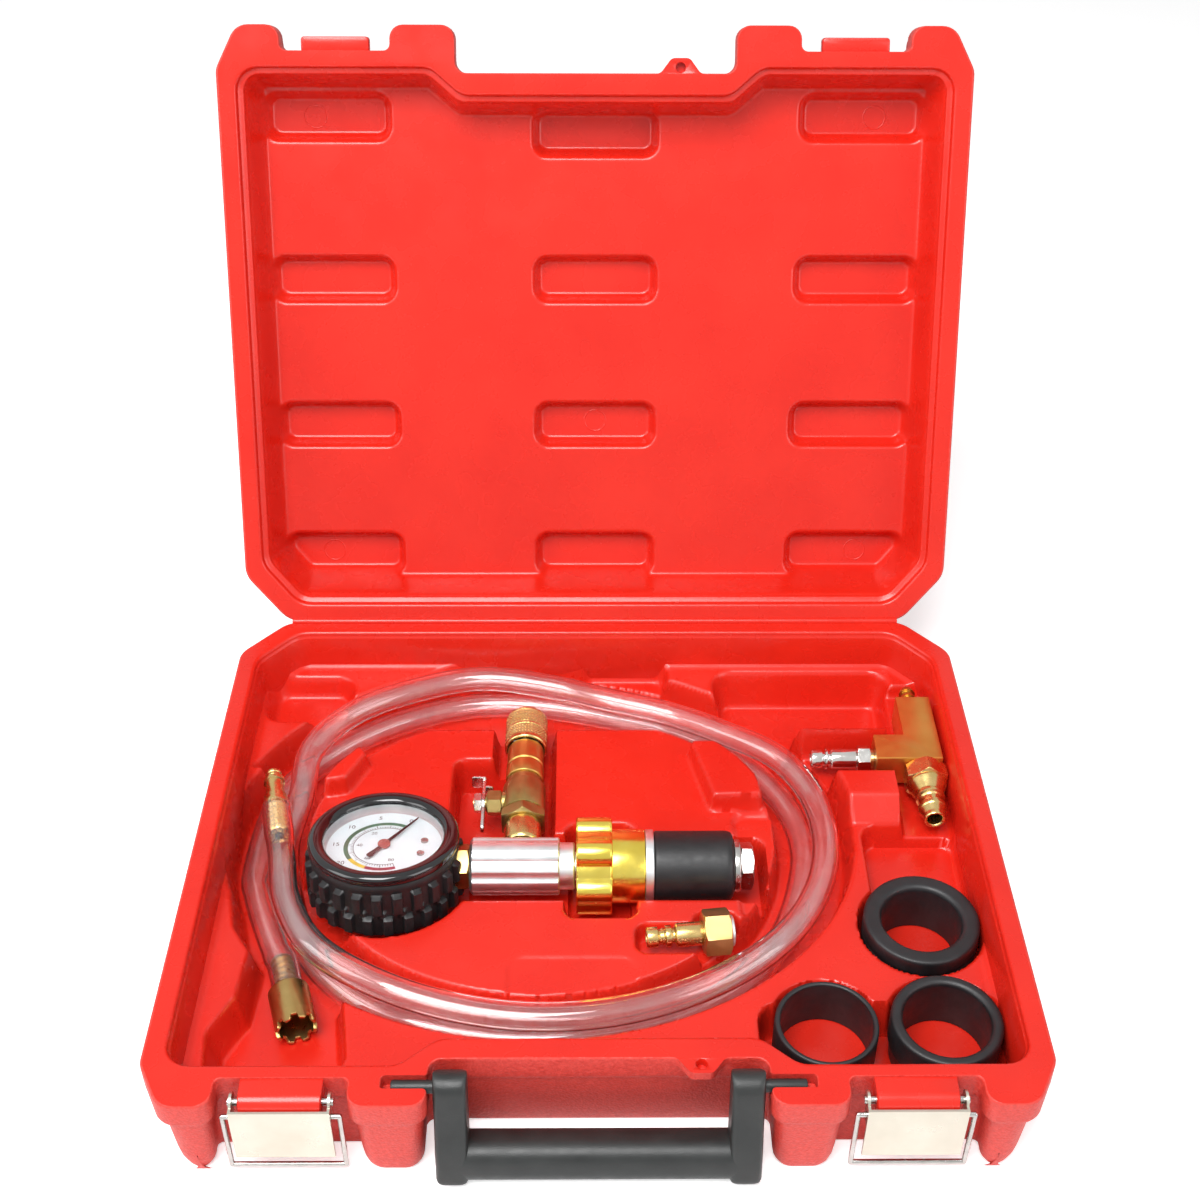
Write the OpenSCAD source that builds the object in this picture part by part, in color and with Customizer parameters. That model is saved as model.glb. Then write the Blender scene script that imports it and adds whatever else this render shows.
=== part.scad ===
// Coolant vacuum refill kit: gauge and valve tool, venturi, adapter, cone rings and hose in a moulded case.
// Millimetres. X to the right, Y to the hinge, Z up. Origin on the floor under the centre of the case rim.

/* [Case] */
// Width of the case over the rim flange
case_w = 340; // [338:1:352]
// Depth of the case from the hinge edge to the latch edge
case_d = 277; // [274:1:290]
// Height of the base rim above the floor
rim_h = 44; // [44:1:50]
// Height of the lid above the rim when closed
lid_h = 35; // [33:1:45]
// Wall of the blow-moulded plastic
wall = 2; // [1.6:0.1:2.2]
// Thickness of the rim flange
flange_t = 12; // [10:0.5:13]
// How far the walls stand in from the flange edge
flange_out = 5.5; // [4:0.5:7]
// Width of the rim beside the tray
rim_w = 10; // [8:0.5:11]
// Angle that the lid stands open
lid_open = 112; // [95:1:118]
// Gap between the closed rims
rim_gap = 0.3; // [0.2:0.1:0.6]
// Depth of the hollow inside the lid
lid_deep = 25; // [20:1:27]
// Depth of the step inside the lid's rim
lid_step = 2.6; // [2:0.2:4]
// How far the lid's inner walls stand in from that step
lid_in = 4.5; // [3:0.5:5]
// Width of the lid's stiffening recesses
pocket_w = 56; // [40:1:60]
// Depth of the lid's stiffening recesses
pocket_deep = 7; // [4:0.5:7]
// Radius of the hinge bead
hinge_r = 1.7; // [1.4:0.1:2]

/* [Handle and latches] */
// Distance between the outer sides of the handle arms
handle_w = 122; // [110:1:123]
// Distance from the handle pivot to the middle of its grip
handle_reach = 32.5; // [30:0.5:33]
// Diameter of the grip
grip_d = 17.5; // [14:0.5:18]
// Width of a handle arm
arm_w = 12.5; // [10:0.5:16]
// Diameter of the handle pivot rods
rod_d = 5; // [4:0.2:5.4]
// Lean of the hanging handle from the vertical
handle_lean = 13; // [8:1:20]
// Distance of a latch from the middle of the case
latch_x = 116.5; // [110:0.5:120]
// Width of a latch plate
latch_w = 37; // [34:0.5:38]
// Height of a latch plate
latch_len = 27; // [22:0.5:30]
// Thickness of the latch sheet
sheet_t = 1; // [0.8:0.1:1.2]
// Diameter of the latch pin
pin_d = 3; // [2.4:0.1:3.4]
// Diameter of the bail wire
wire_d = 2; // [1.6:0.1:2.4]

/* [Gauge and valve tool] */
// Height of the tool's axis above the floor
tool_z = 24.5; // [24.5:0.1:28]
// Tilt of the gauge face about the tool's axis
gauge_tilt = 11; // [0:1:12]
// Outer radius of the gauge boot over its lugs
boot_r = 34; // [33:0.5:35]
// Radius of the gauge case
gauge_r = 30; // [28:0.5:30.5]
// Radius of the dial
dial_r = 25.5; // [22:0.5:27]
// Diameter of the manifold body
manifold_d = 24.6; // [22:0.2:26]
// Radius of the lobed knob
knob_r = 21; // [18:0.5:21]
// Number of lobes on the knob
knob_lobes = 6; // [5:1:8]
// Diameter of the expander tube
tube_d = 12; // [10:0.5:12]
// Diameter of the expanding rubber
rubber_d = 30; // [26:0.5:31]
// Length of the expanding rubber
rubber_len = 34; // [28:1:36]
// Travel of the press washer
press_travel = 5; // [3:0.5:6]
// Clearance between sliding and turning pieces
run_gap = 0.3; // [0.2:0.05:0.35]

/* [Small tools] */
// Thickness of the venturi block
block_t = 16; // [14:0.5:18]
// Outer radius of the large cone ring
ring_large_r = 24; // [22:0.5:24]
// Outer radius of the thin cone ring
ring_thin_r = 20.5; // [18:0.5:21]
// Outer radius of the medium cone ring
ring_medium_r = 22; // [20:0.5:22.5]
// Height of the cone rings
ring_h = 24; // [18:0.5:26]

/* [Hose] */
// Outer diameter of the hose
hose_d = 12; // [10:0.5:12]
// Rings of the hose surface in one loop of the coil
loop_rings = 24; // [24:4:48]

/* [Hidden] */
$fn = 48;

red = "#d8201c";
dark = "#2b2b2d";
rubber_black = "#1d1d1f";
brass = "#b5914a";
orange_brass = "#c87a2e";
gold = "#e0a81e";
silver = "#c9ccd0";
nickel = "#d9d6cc";
clear_hose = [0.95, 0.9, 0.9, 0.5];

// Case plan: back chamfer, front chamfer and the recess for the handle
back_cx = 20;
back_cy = 23;
front_cx = 10;
front_cy = 19;
recess_half = handle_w / 2 + 2;
recess_d = 20.5;
front_y = -case_d / 2;
back_y = case_d / 2;

// Tray plan
in_x = case_w / 2 - rim_w;
in_back = back_y - rim_w;
in_mid = front_y + recess_d + 11;
in_ear = front_y + 19.5;
ear_in_x = recess_half + 5;
floor_z = 5;
island_z = rim_h - 19.5;
block_z = rim_h - 10;

// Small functions: unit vector, one rounded corner, a rounded outline, an ellipse and a mirrored half
function unit(v) = v / norm(v);
function corner(a, b, c, r, n = 4) =
    let (u = unit(a - b), w = unit(c - b), half = acos(max(-1, min(1, u * w))) / 2,
        reach = min(r / tan(half), norm(a - b) * 0.48, norm(c - b) * 0.48), rr = reach * tan(half),
        mid = b + unit(u + w) * rr / sin(half), p = b + u * reach, q = b + w * reach,
        a0 = atan2(p.y - mid.y, p.x - mid.x), a1 = atan2(q.y - mid.y, q.x - mid.x),
        turn = a1 - a0 > 180 ? a1 - a0 - 360 : (a1 - a0 < -180 ? a1 - a0 + 360 : a1 - a0))
    [for (i = [0:n]) mid + rr * [cos(a0 + turn * i / n), sin(a0 + turn * i / n)]];
function rounded(p, r) =
    [for (i = [0:len(p) - 1]) each corner(p[(i + len(p) - 1) % len(p)], p[i], p[(i + 1) % len(p)], r)];
function ellipse_pts(c, a, b, n = 60) =
    [for (i = [0:n - 1]) c + [a * cos(360 * i / n), b * sin(360 * i / n)]];
function island_pts(c, a, back_b, front_b, n = 60) =
    [for (i = [0:n - 1]) let (t = 360 * i / n) c + [a * cos(t), (sin(t) < 0 ? front_b : back_b) * sin(t)]];
function both_sides(half) = concat(half, [for (i = [len(half) - 1:-1:0]) [-half[i].x, half[i].y]]);
function box_pts(x0, x1, y0, y1, g) =
    [[x0 - g, y0 - g], [x1 + g, y0 - g], [x1 + g, y1 + g], [x0 - g, y1 + g]];

// Case outline at an inset e from the flange edge, and tray outline grown by g
function case_pts(e) = both_sides([
    [recess_half + e, front_y + recess_d + e],
    [recess_half + e, front_y + e],
    [case_w / 2 - front_cx - 0.3 * e, front_y + e],
    [case_w / 2 - e, front_y + front_cy + 0.3 * e],
    [case_w / 2 - e, back_y - back_cy - 0.4 * e],
    [case_w / 2 - back_cx - 0.4 * e, back_y - e]]);
function tray_pts(g) = both_sides([
    [ear_in_x - g, in_mid - g],
    [ear_in_x - g, in_ear - g],
    [in_x + g, in_ear - g],
    [in_x + g, in_back - back_cy + 4 + 0.4 * g],
    [in_x - back_cx + 4 + 0.4 * g, in_back + g]]);

module prism(pts, z0, z1) {
    translate([0, 0, z0]) linear_extrude(z1 - z0) polygon(pts);
}
module both(x) {
    for (side = [-1, 1]) translate([side * x, 0, 0]) children();
}
module along_x(r, x0, x1) {
    translate([x0, 0, 0]) rotate([0, 90, 0]) cylinder(r = r, h = x1 - x0);
}
module along_y(r, y0, y1) {
    translate([0, y0, 0]) rotate([-90, 0, 0]) cylinder(r = r, h = y1 - y0);
}
module hex_x(flats, x0, x1) {
    translate([x0, 0, 0]) rotate([0, 90, 0]) cylinder(d = flats / cos(30), h = x1 - x0, $fn = 6);
}
module hex_y(flats, y0, y1) {
    translate([0, y0, 0]) rotate([-90, 0, 0]) cylinder(d = flats / cos(30), h = y1 - y0, $fn = 6);
}

// Places of the tools in the tray
tool_y = -4.5;
gauge_x = -91;
manifold_x0 = -54.5;
manifold_x1 = -16;
manifold_x2 = -9.5;
valve_x = -32.5;
// Cone rings: from the right wall of their well and from its front
ring_room = 0.5;
ring_row = in_ear + 30;
medium_c = [in_x - 1 - ring_room - ring_medium_r, ring_row];
large_c = [in_x - 1 - ring_room - ring_large_r, ring_row + ring_medium_r + ring_large_r + 5];
thin_x = medium_c.x - ring_medium_r - ring_thin_r - 4.5;
thin_c = [thin_x, thin_x - ring_thin_r < ear_in_x - 1 ? in_mid + ring_thin_r + 2 : ring_row];
well_back = 18;
coil_c = [-in_x + 135.5, 17];
coil_a = 127.5;
coil_b = 101.5;
coil_pinch = 14.5;
coil_bulge = 4;
island_back = 85;
above = rim_h + 20;
left_pad = [[-124.5, 37], [-111.5, 40], [-103.5, 56.5], [-107.5, 63], [-113, 60], [-122, 46.5]];
right_pad = [[51, 28], [75, 29], [73, 43], [65, 56], [55, 66], [42, 66]];

// Latches and handle
bar_r = 4.5;
bar_half = 15.2;
notch_half = 24.5;
notch_d = 12.5;
latch_y = front_y + 6;
latch_z = rim_h - 5.5;
pin_gap = 0.1;
handle_y = front_y + 10.5;
handle_z = rim_h - 3;
rod_gap = 0.4;
rod_out = 18;

// Cuts in the flange: latch notches and handle rod slots, each grown by g
module front_cuts(g) {
    both(latch_x) prism(box_pts(-notch_half, notch_half, front_y - 5, front_y + notch_d, g), -5, above);
    slot = rod_d / 2 + rod_gap;
    plan = box_pts(-rod_out / 2 - 1, rod_out / 2, handle_y - slot, handle_y + slot, g);
    both(recess_half + rod_out / 2 - 1) prism(plan, handle_z - slot - g, above);
}

// Hollows of the tray, each grown by g
module tray_cuts(g) {
    room = hose_d / 2 + 1;
    inner = coil_pinch + hose_d / 2 + 1.5;
    front_in = hose_d / 2 + 2.5;
    // Step below the rim, round the block that carries the venturi and two solid pads
    difference() {
        prism(rounded(tray_pts(g), 8), island_z - g, above);
        translate([in_x - 74 + g, 0, 0]) rotate([90, 0, 90]) linear_extrude(80 - g)
            polygon([[19 + g, -10], [19 + g, island_z - 1 - g], [30 + g / 2, block_z - g],
                [76 - g, block_z - g], [76 - g, -10]]);
        if (g == 0) {
            prism(rounded(left_pad, 3), -10, block_z);
            prism(rounded(right_pad, 3), -10, block_z);
        }
    }
    // Oval channel for the hose, wider at the back on the left
    difference() {
        union() {
            prism(ellipse_pts(coil_c, coil_a + room + g, coil_b + room + g), floor_z - g, above);
            intersection() {
                prism(ellipse_pts(coil_c, coil_a + coil_bulge + room + g, coil_b + coil_bulge + room + g),
                    floor_z - g, above);
                prism(box_pts(-in_x, -20, 60, in_back - 2, g), -20, above + 2);
            }
        }
        intersection() {
            prism(island_pts(coil_c, coil_a - inner - g, coil_b - inner - g, coil_b - front_in - g),
                -10, above + 1);
            prism(box_pts(-in_x, in_x, front_y, island_back, -g), -20, above + 2);
        }
    }
    // Left side: finger room and the run to the pickup foot
    prism(rounded(box_pts(-in_x + 6, -in_x + 40, 92, 116, g), 6), 14 - g, above);
    prism(rounded([[-in_x + 6 - g, -10], [-in_x + 50 + g, -50], [-in_x + 60 + g, in_ear + 12 - g],
        [-in_x + 12 - g, in_ear + 11 - g], [-in_x + 10 - g, in_ear + 28], [-in_x + 18 - g, in_ear + 43],
        [-in_x + 20.5 - g, -49], [-in_x + 12 - g, -36]], 6), floor_z - g, above);
    // Gauge, manifold, knob, rubber and valve
    translate([gauge_x, tool_y, floor_z - g]) cylinder(r = boot_r + 2.5 + g, h = above);
    prism(rounded(box_pts(gauge_x, 72, tool_y - 17, tool_y + 17, g), 4), 7.5 - g, above);
    prism(rounded(box_pts(-12, 10 + press_travel, tool_y - 27, tool_y + 23.5, g), 4), 3 - g, above);
    prism(rounded(box_pts(valve_x - 13, valve_x + 12, tool_y, 99, g), 4), 12 - g, above);
    prism(rounded(box_pts(valve_x - 31, valve_x - 6, 14, 60, g), 4), floor_z - g, above);
    // Low shelf at the right end of the tool
    prism(rounded(box_pts(62, 90, -33, 26, g), 5), 22 - g, above);
    // Adapter
    prism(rounded(box_pts(17, 44, -50.5, -37.5, g), 4), adapter_floor - g, above);
    prism(rounded(box_pts(41, 58, -53, -31.5, g), 4), adapter_floor - g, above);
    // Venturi: block arm with barb, foot with plug, coupling
    prism(rounded(box_pts(in_x - 24, in_x - 1, 47, 112, g), 4), venturi_floor - g, above);
    prism(rounded(box_pts(in_x - 70, in_x - 1, 47, 69, g), 4), venturi_floor - g, above);
    prism(rounded(box_pts(in_x - 24, in_x - 1, 15, 60, g), 4), venturi_floor - g, above);
    // Deep room behind the venturi's plug
    prism(rounded(box_pts(in_x - 98, in_x - 22, 78, 118, g), 5), floor_z - g, above);
    // Wells for the cone rings: front row, finger room behind the large ring, one round for each ring
    prism(rounded(box_pts(ear_in_x - 4, in_x - 1, in_ear + 1, ring_row + 10.5, g), 8), floor_z - g, above);
    prism(rounded(box_pts(in_x - 42, in_x - 1, large_c.y, well_back, g), 6), 12 - g, above);
    translate([0, 0, floor_z - g]) {
        translate(large_c) cylinder(r = ring_large_r + ring_room + g, h = above);
        translate(medium_c) cylinder(r = ring_medium_r + ring_room + g, h = above);
        translate(thin_c) cylinder(r = ring_thin_r + ring_room + g, h = above);
    }
    // Finger recess at the back
    prism(rounded(box_pts(-6, 33, 108, in_back - 1, g), 5), 14 - g, above);
}

module latch_bars() {
    for (side = [-1, 1]) translate([side * latch_x, 0, 0]) {
        translate([0, latch_y, latch_z]) along_x(bar_r, -bar_half, bar_half);
        translate([-bar_half, latch_y, latch_z - bar_r])
            cube([2 * bar_half, front_y + notch_d + 0.5 - latch_y, 2 * bar_r]);
    }
}

module padlock_tab(z) {
    translate([38, front_y + recess_d - 1, z]) difference() {
        union() {
            cylinder(r = 5.5, h = 3);
            translate([-5.5, 0, 0]) cube([11, 6, 3]);
        }
        translate([0, -1.5, -1]) cylinder(r = 2.2, h = 5);
    }
}

module case_base() color(red) difference() {
    union() {
        difference() {
            union() {
                prism(rounded(case_pts(flange_out), 7), 0, rim_h - flange_t + 1);
                prism(rounded(case_pts(0), 6), rim_h - flange_t, rim_h);
            }
            front_cuts(0);
            translate([-case_w, back_y - hinge_r - rim_gap, -1]) cube([2 * case_w, 20, above]);
        }
        latch_bars();
        padlock_tab(rim_h - 4);
    }
    tray_cuts(0);
    both(latch_x) translate([0, latch_y, latch_z])
        along_x(pin_d / 2 + pin_gap, -bar_half - 1, bar_half + 1);
    difference() {
        prism(rounded(case_pts(flange_out + wall), 5), wall, rim_h - flange_t);
        tray_cuts(wall);
        front_cuts(wall);
    }
}

// The lid is drawn closed over the base and then turned open about the hinge bead
module lid_pockets(g, z) {
    rows = [27.5, 93, 163, 237.5];
    plan = rounded(box_pts(-pocket_w / 2, pocket_w / 2, -10.5, 10.5, g), 5);
    for (row = rows, col = [-1, 0, 1])
        translate([col * 124.5, back_y - row - (col == 0 && row == rows[3] ? -7 : 0), 0])
            prism(plan, rim_h, z + pocket_deep + g);
}
module lid_hollow(g) {
    top = rim_h + rim_gap + lid_deep;
    prism(rounded(tray_pts(g), 8), rim_h - 5, rim_h + rim_gap + lid_step + g);
    prism(rounded(tray_pts(g - lid_in), 8), rim_h - 5, top + g);
    lid_pockets(g, top);
}
module lid_notches(g) {
    both(latch_x)
        prism(box_pts(-notch_half, notch_half, front_y - 5, front_y + 11, g), rim_h - 1, rim_h + 80);
}
module lid_open_pose() {
    hinge = [0, back_y, rim_h + rim_gap / 2];
    translate(hinge) rotate([-lid_open, 0, 0]) translate(-hinge) children();
}
module case_lid() color(red) lid_open_pose() difference() {
    low = rim_h + rim_gap;
    union() {
        difference() {
            union() {
                prism(rounded(case_pts(flange_out), 7), low + flange_t - 1, low + lid_h);
                prism(rounded(case_pts(0), 6), low, low + flange_t);
            }
            lid_notches(0);
            translate([-case_w, back_y - hinge_r - rim_gap, low - 1]) cube([2 * case_w, 20, 80]);
        }
        both(latch_x) translate([-bar_half, front_y + 5, low + 2]) cube([2 * bar_half, 6.5, 6]);
        padlock_tab(low + 1);
    }
    lid_hollow(0);
    difference() {
        prism(rounded(case_pts(flange_out + wall), 5), low + flange_t, low + lid_h - wall);
        lid_hollow(wall);
        lid_notches(wall);
    }
}

// Flexible strip that joins the two halves, as a bead on the bend and a web against the base flange
module hinge_strip() color(red) {
    half = case_w / 2 - back_cx - 2;
    web = hinge_r + rim_gap;
    translate([0, back_y, rim_h + rim_gap / 2]) along_x(hinge_r, -half, half);
    translate([-half, back_y - web, rim_h - flange_t])
        cube([2 * half, web + hinge_r - 0.5, flange_t - 0.6]);
}

// Handle, drawn hanging straight and leaned forward about its rods
module carry_handle() color(dark) translate([0, handle_y, handle_z]) rotate([-handle_lean, 0, 0]) {
    half = handle_w / 2;
    both(half - arm_w / 2) {
        along_x(6.2, -arm_w / 2, arm_w / 2);
        translate([-arm_w / 2, -6.2, -handle_reach]) cube([arm_w, 12.4, handle_reach]);
        translate([0, 0, -handle_reach]) along_x(grip_d / 2, -arm_w / 2, arm_w / 2);
    }
    translate([0, 0, -handle_reach]) along_x(grip_d / 2, -half + arm_w / 2, half - arm_w / 2);
    along_x(rod_d / 2, -half - rod_out + 2, -half + 1);
    along_x(rod_d / 2, half - 1, half + rod_out - 2);
}

module latch_pins() color(silver)
    both(latch_x) translate([0, latch_y, latch_z])
        along_x(pin_d / 2, -latch_w / 2 - 0.8, latch_w / 2 + 0.8);

// Latch plate hanging from its pin, with two folded ears that carry the pin and the bail
bail_drop = 4.5;
bail_y = -3.2;
web_y = -bar_r - 0.5;
module latch_plate() color(nickel) {
    ear_in = latch_w / 2 - sheet_t;
    translate([-latch_w / 2, web_y - sheet_t, -latch_len + 1]) cube([latch_w, sheet_t, latch_len]);
    for (side = [-1, 1]) difference() {
        translate([side > 0 ? ear_in : -latch_w / 2, 0, 0]) union() {
            translate([0, web_y - 0.2, -9]) cube([sheet_t, -web_y + 0.2, 10]);
            along_x(3.6, 0, sheet_t);
        }
        along_x(pin_d / 2 + pin_gap, -latch_w, latch_w);
        translate([0, bail_y, -bail_drop]) along_x(wire_d / 2 + run_gap, -latch_w, latch_w);
    }
}
module latch_plate_left() translate([-latch_x, latch_y, latch_z]) latch_plate();
module latch_plate_right() translate([latch_x, latch_y, latch_z]) latch_plate();

// Wire bail hooked in the plate's ears
module latch_bail() color(silver) translate([0, bail_y, -bail_drop]) {
    half = latch_w / 2 + 3;
    drop = latch_z - bail_drop - wire_d / 2 - 3;
    both(half) {
        sphere(d = wire_d);
        translate([0, 0, -drop]) cylinder(d = wire_d, h = drop);
        translate([0, 0, -drop]) sphere(d = wire_d);
    }
    translate([0, 0, -drop]) along_x(wire_d / 2, -half, half);
    along_x(wire_d / 2, -half, -latch_w / 2 + sheet_t + 0.6);
    along_x(wire_d / 2, latch_w / 2 - sheet_t - 0.6, half);
}
module latch_bail_left() translate([-latch_x, latch_y, latch_z]) latch_bail();
module latch_bail_right() translate([latch_x, latch_y, latch_z]) latch_bail();

// Gauge: drawn about the middle of its stem axis, face up, then tilted and set in the tray
case_back = -11;
case_top = 12.5;
case_wall = 1.2;
bezel_z = case_top + 0.55;
bezel_t = 4.6;
lens_r = gauge_r - 1.5;
dial_z = 9;
dial_t = 0.8;
needle_angle = 56;
stem_r = 6;
stem_flats = 17;
thread_r = 5;
thread_gap = 0.05;
module gauge_place() {
    translate([gauge_x, tool_y, tool_z]) rotate([-gauge_tilt, 0, 0]) children();
}
module boot_lugs(z0, z1, turn) {
    lugs = 24;
    core = boot_r - 2.4;
    pts = [for (i = [0:lugs - 1], k = [[0, core], [0.12, boot_r], [0.5, boot_r], [0.62, core]])
        let (a = 360 * (i + k[0]) / lugs + turn) k[1] * [cos(a), sin(a)]];
    prism(pts, z0, z1);
}
module gauge_boot() color(rubber_black) gauge_place() difference() {
    union() {
        translate([0, 0, case_back - 2]) cylinder(r = boot_r - 2.3, h = case_top + 0.5 - case_back + 2);
        boot_lugs(case_back - 0.5, -0.6, 0);
        boot_lugs(0.6, case_top - 2, 7.5);
    }
    translate([0, 0, case_back - 0.05]) cylinder(r = gauge_r + 0.05, h = 50);
    translate([0, 0, case_back - 5]) cylinder(r = 20, h = 10);
    translate([20, -stem_flats / 2 - 2.2, -stem_flats / 2 - 2])
        cube([30, stem_flats + 4.4, stem_flats + 4]);
}
module gauge_case() color("#3a3a3c") gauge_place() difference() {
    translate([0, 0, case_back]) cylinder(r = gauge_r, h = case_top - case_back);
    translate([0, 0, case_back + case_wall]) cylinder(r = gauge_r - case_wall, h = 50);
    along_x(stem_r + thread_gap, 10, gauge_r + 5);
}
module gauge_bezel() color(rubber_black) gauge_place() difference() {
    translate([0, 0, bezel_z]) cylinder(r = boot_r - 1.8, h = bezel_t);
    translate([0, 0, bezel_z - 1]) cylinder(r = dial_r, h = 20);
    translate([0, 0, bezel_z - 1]) cylinder(r = lens_r + 0.1, h = 2.8);
}
module gauge_lens() color([0.9, 0.95, 1, 0.3]) gauge_place()
    translate([0, 0, bezel_z + 0.1]) cylinder(r = lens_r, h = 1.6);
module gauge_dial() color("white") gauge_place() difference() {
    translate([0, 0, dial_z]) cylinder(r = gauge_r - case_wall - 0.1, h = dial_t);
    translate([0, 0, dial_z - 1]) cylinder(r = 1.6, h = 5);
    dial_screw_places() translate([0, 0, dial_z - 1]) cylinder(r = 0.8, h = 5);
}
module dial_screw_places() {
    for (p = [[17, 3.5], [16, -5.5]]) translate(p) children();
}
module dial_screws() color(silver) gauge_place() dial_screw_places() {
    translate([0, 0, dial_z + dial_t]) cylinder(r = 1.4, h = 0.7);
    translate([0, 0, dial_z - 2]) cylinder(r = 0.75, h = dial_t + 2.2);
}
module gauge_needle() color("black") gauge_place() {
    top = dial_z + dial_t;
    translate([0, 0, top + 0.8]) cylinder(r = 2.2, h = 1.2);
    translate([0, 0, 4]) cylinder(r = 1.2, h = top - 3);
    tip = dial_r - 2;
    rotate([0, 0, needle_angle])
        prism([[-9, -0.9], [0, -1.1], [tip, -0.15], [tip, 0.15], [0, 1.1], [-9, 0.9]], top + 1, top + 1.6);
}
module gauge_movement() color(brass) gauge_place() difference() {
    union() {
        translate([-9, -7, -1]) cube([18, 14, 1]);
        translate([-9, -7, 5]) cube([18, 14, 1]);
        for (x = [-7, 7], y = [-5, 5]) translate([x, y, -1]) cylinder(r = 1, h = 6.5);
        translate([8, -3, -2.5]) cube([16.2, 6, 1.8]);
    }
    translate([0, 0, -3]) cylinder(r = 1.4, h = 20);
}
bourdon_h = 6.5;
module bourdon_tube() color(orange_brass) gauge_place()
    rotate([0, 0, 10]) rotate_extrude(angle = 262)
        translate([gauge_r - 10, -bourdon_h - 1]) square([2.4, bourdon_h]);
module gauge_stem() color(brass) gauge_place() {
    reach = manifold_x0 - gauge_x;
    difference() {
        union() {
            along_x(stem_r, 24.5, gauge_r + 1);
            hex_x(stem_flats, gauge_r + 0.3, reach);
            along_x(thread_r, reach - 1, reach + 8);
        }
        along_x(1.6, 24, reach + 9);
    }
}

// Manifold and what is screwed into it
port_r = 6.5;
nipple_r = 8.2;
flow_r = 4;
valve_y0 = 24;
valve_len = 27;
ball_y = valve_y0 + 14;
ball_r = 7.8;
stem_pin_r = 3;
module tool_place() {
    translate([0, tool_y, tool_z]) children();
}
module valve_place() {
    translate([valve_x, tool_y, tool_z]) children();
}
module manifold_body() color(silver) tool_place() difference() {
    r = manifold_d / 2;
    union() {
        translate([manifold_x0, 0, 0]) rotate([90, 0, 90])
            linear_extrude(manifold_x1 - manifold_x0) difference() {
                circle(r = r);
                for (i = [0:7]) rotate(45 * i + 22.5) translate([r + 2.4, 0]) circle(r = 3.4);
            }
        along_x(r - 2.2, manifold_x1 - 1, manifold_x2);
    }
    along_x(thread_r + thread_gap, manifold_x0 - 1, manifold_x0 + 9);
    along_x(flow_r, manifold_x0, manifold_x2);
    along_x(tube_d / 2 + thread_gap, manifold_x1 - 6, manifold_x2 + 1);
    translate([valve_x, 0, 0]) along_y(port_r + thread_gap, 2, r + 1);
}
module valve_nipple() color(brass) valve_place() difference() {
    union() {
        along_y(port_r, flow_r + 1.2, manifold_d / 2 + 0.2);
        along_y(nipple_r, manifold_d / 2 + 0.1, valve_y0);
    }
    along_y(flow_r, 0, valve_y0 + 1);
}
module valve_body() color(brass) valve_place() difference() {
    union() {
        hex_y(19, valve_y0, valve_y0 + 6);
        along_y(9.6, valve_y0 + 5, valve_y0 + 23.5);
        along_y(8, valve_y0 + 23, valve_y0 + valve_len);
        translate([0, ball_y, 0]) along_x(5.6, -17, 0);
    }
    along_y(flow_r, valve_y0 - 1, valve_y0 + valve_len + 1);
    along_y(ball_r + 0.4, ball_y - 7.6, ball_y + 7.6);
    translate([0, ball_y, 0]) along_x(stem_pin_r + 0.05, -18, 0);
}
module valve_ball() color(silver) valve_place() translate([0, ball_y, 0]) difference() {
    rotate([-90, 0, 0]) rotate_extrude() intersection() {
        circle(r = ball_r);
        translate([flow_r + 0.2, -ball_r]) square([ball_r, 2 * ball_r]);
    }
    translate([-10, -stem_pin_r - 0.1, -stem_pin_r - 0.1])
        cube([3.6, 2 * stem_pin_r + 0.2, 2 * stem_pin_r + 0.2]);
}
module valve_seats() color("white") valve_place() for (side = [-1, 1]) difference() {
    translate([0, ball_y + side * 6.75, 0]) along_y(ball_r + 0.3, -0.75, 0.75);
    along_y(5.2, 0, 60);
}
module valve_stem() color(brass) valve_place() translate([0, ball_y, 0]) {
    along_x(stem_pin_r, -17.2, -6.5);
    along_x(2.4, -22.6, -17);
}
module valve_lever() color(nickel) valve_place() translate([0, ball_y, 0]) difference() {
    union() {
        translate([-18.7, -17, -2.4]) cube([1.4, 31, 4.8]);
        along_x(4, -18.7, -17.3);
        translate([-24, 12.8, -3.4]) cube([6.6, 1.2, 6.8]);
        translate([-17.5, 8, -2]) cube([3.6, 1.2, 4]);
    }
    along_x(2.45, -30, 0);
}
module lever_nut() color(silver) valve_place() translate([0, ball_y, 0]) difference() {
    hex_x(8, -22.2, -18.75);
    along_x(2.45, -30, 0);
}

// Quick coupler on the valve
coupler_y0 = valve_y0 + valve_len;
shoulder_y = coupler_y0 + 20.5;
mouth_y = coupler_y0 + 42;
core_r = 6.2;
ring_y = mouth_y - 7;
module coupler_body() color(orange_brass) valve_place() difference() {
    union() {
        along_y(8.6, coupler_y0, shoulder_y);
        along_y(core_r, shoulder_y - 1, mouth_y - 0.5);
    }
    along_y(3.6, coupler_y0 - 1, mouth_y);
    along_y(4.8, ring_y - 2.8, ring_y - 1.2);
    for (i = [0:3]) translate([0, ring_y + 2.5, 0]) rotate([0, 45 + 90 * i, 0]) along_x(1.5, 3, 8);
}
module coupler_sleeve() color(brass) valve_place() difference() {
    along_y(9.9, shoulder_y + 0.5, mouth_y);
    along_y(8.6 + run_gap, shoulder_y, ring_y);
    along_y(core_r + run_gap, shoulder_y, mouth_y + 1);
}
module coupler_balls() color(silver) valve_place()
    for (i = [0:3]) translate([0, ring_y + 2.5, 0]) rotate([0, 45 + 90 * i, 0])
        translate([4.9, 0, 0]) sphere(r = 1.35);
module coupler_seal() color(rubber_black) valve_place()
    translate([0, ring_y - 2, 0]) rotate([-90, 0, 0]) rotate_extrude() translate([4.05, 0]) circle(r = 0.7);
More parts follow.
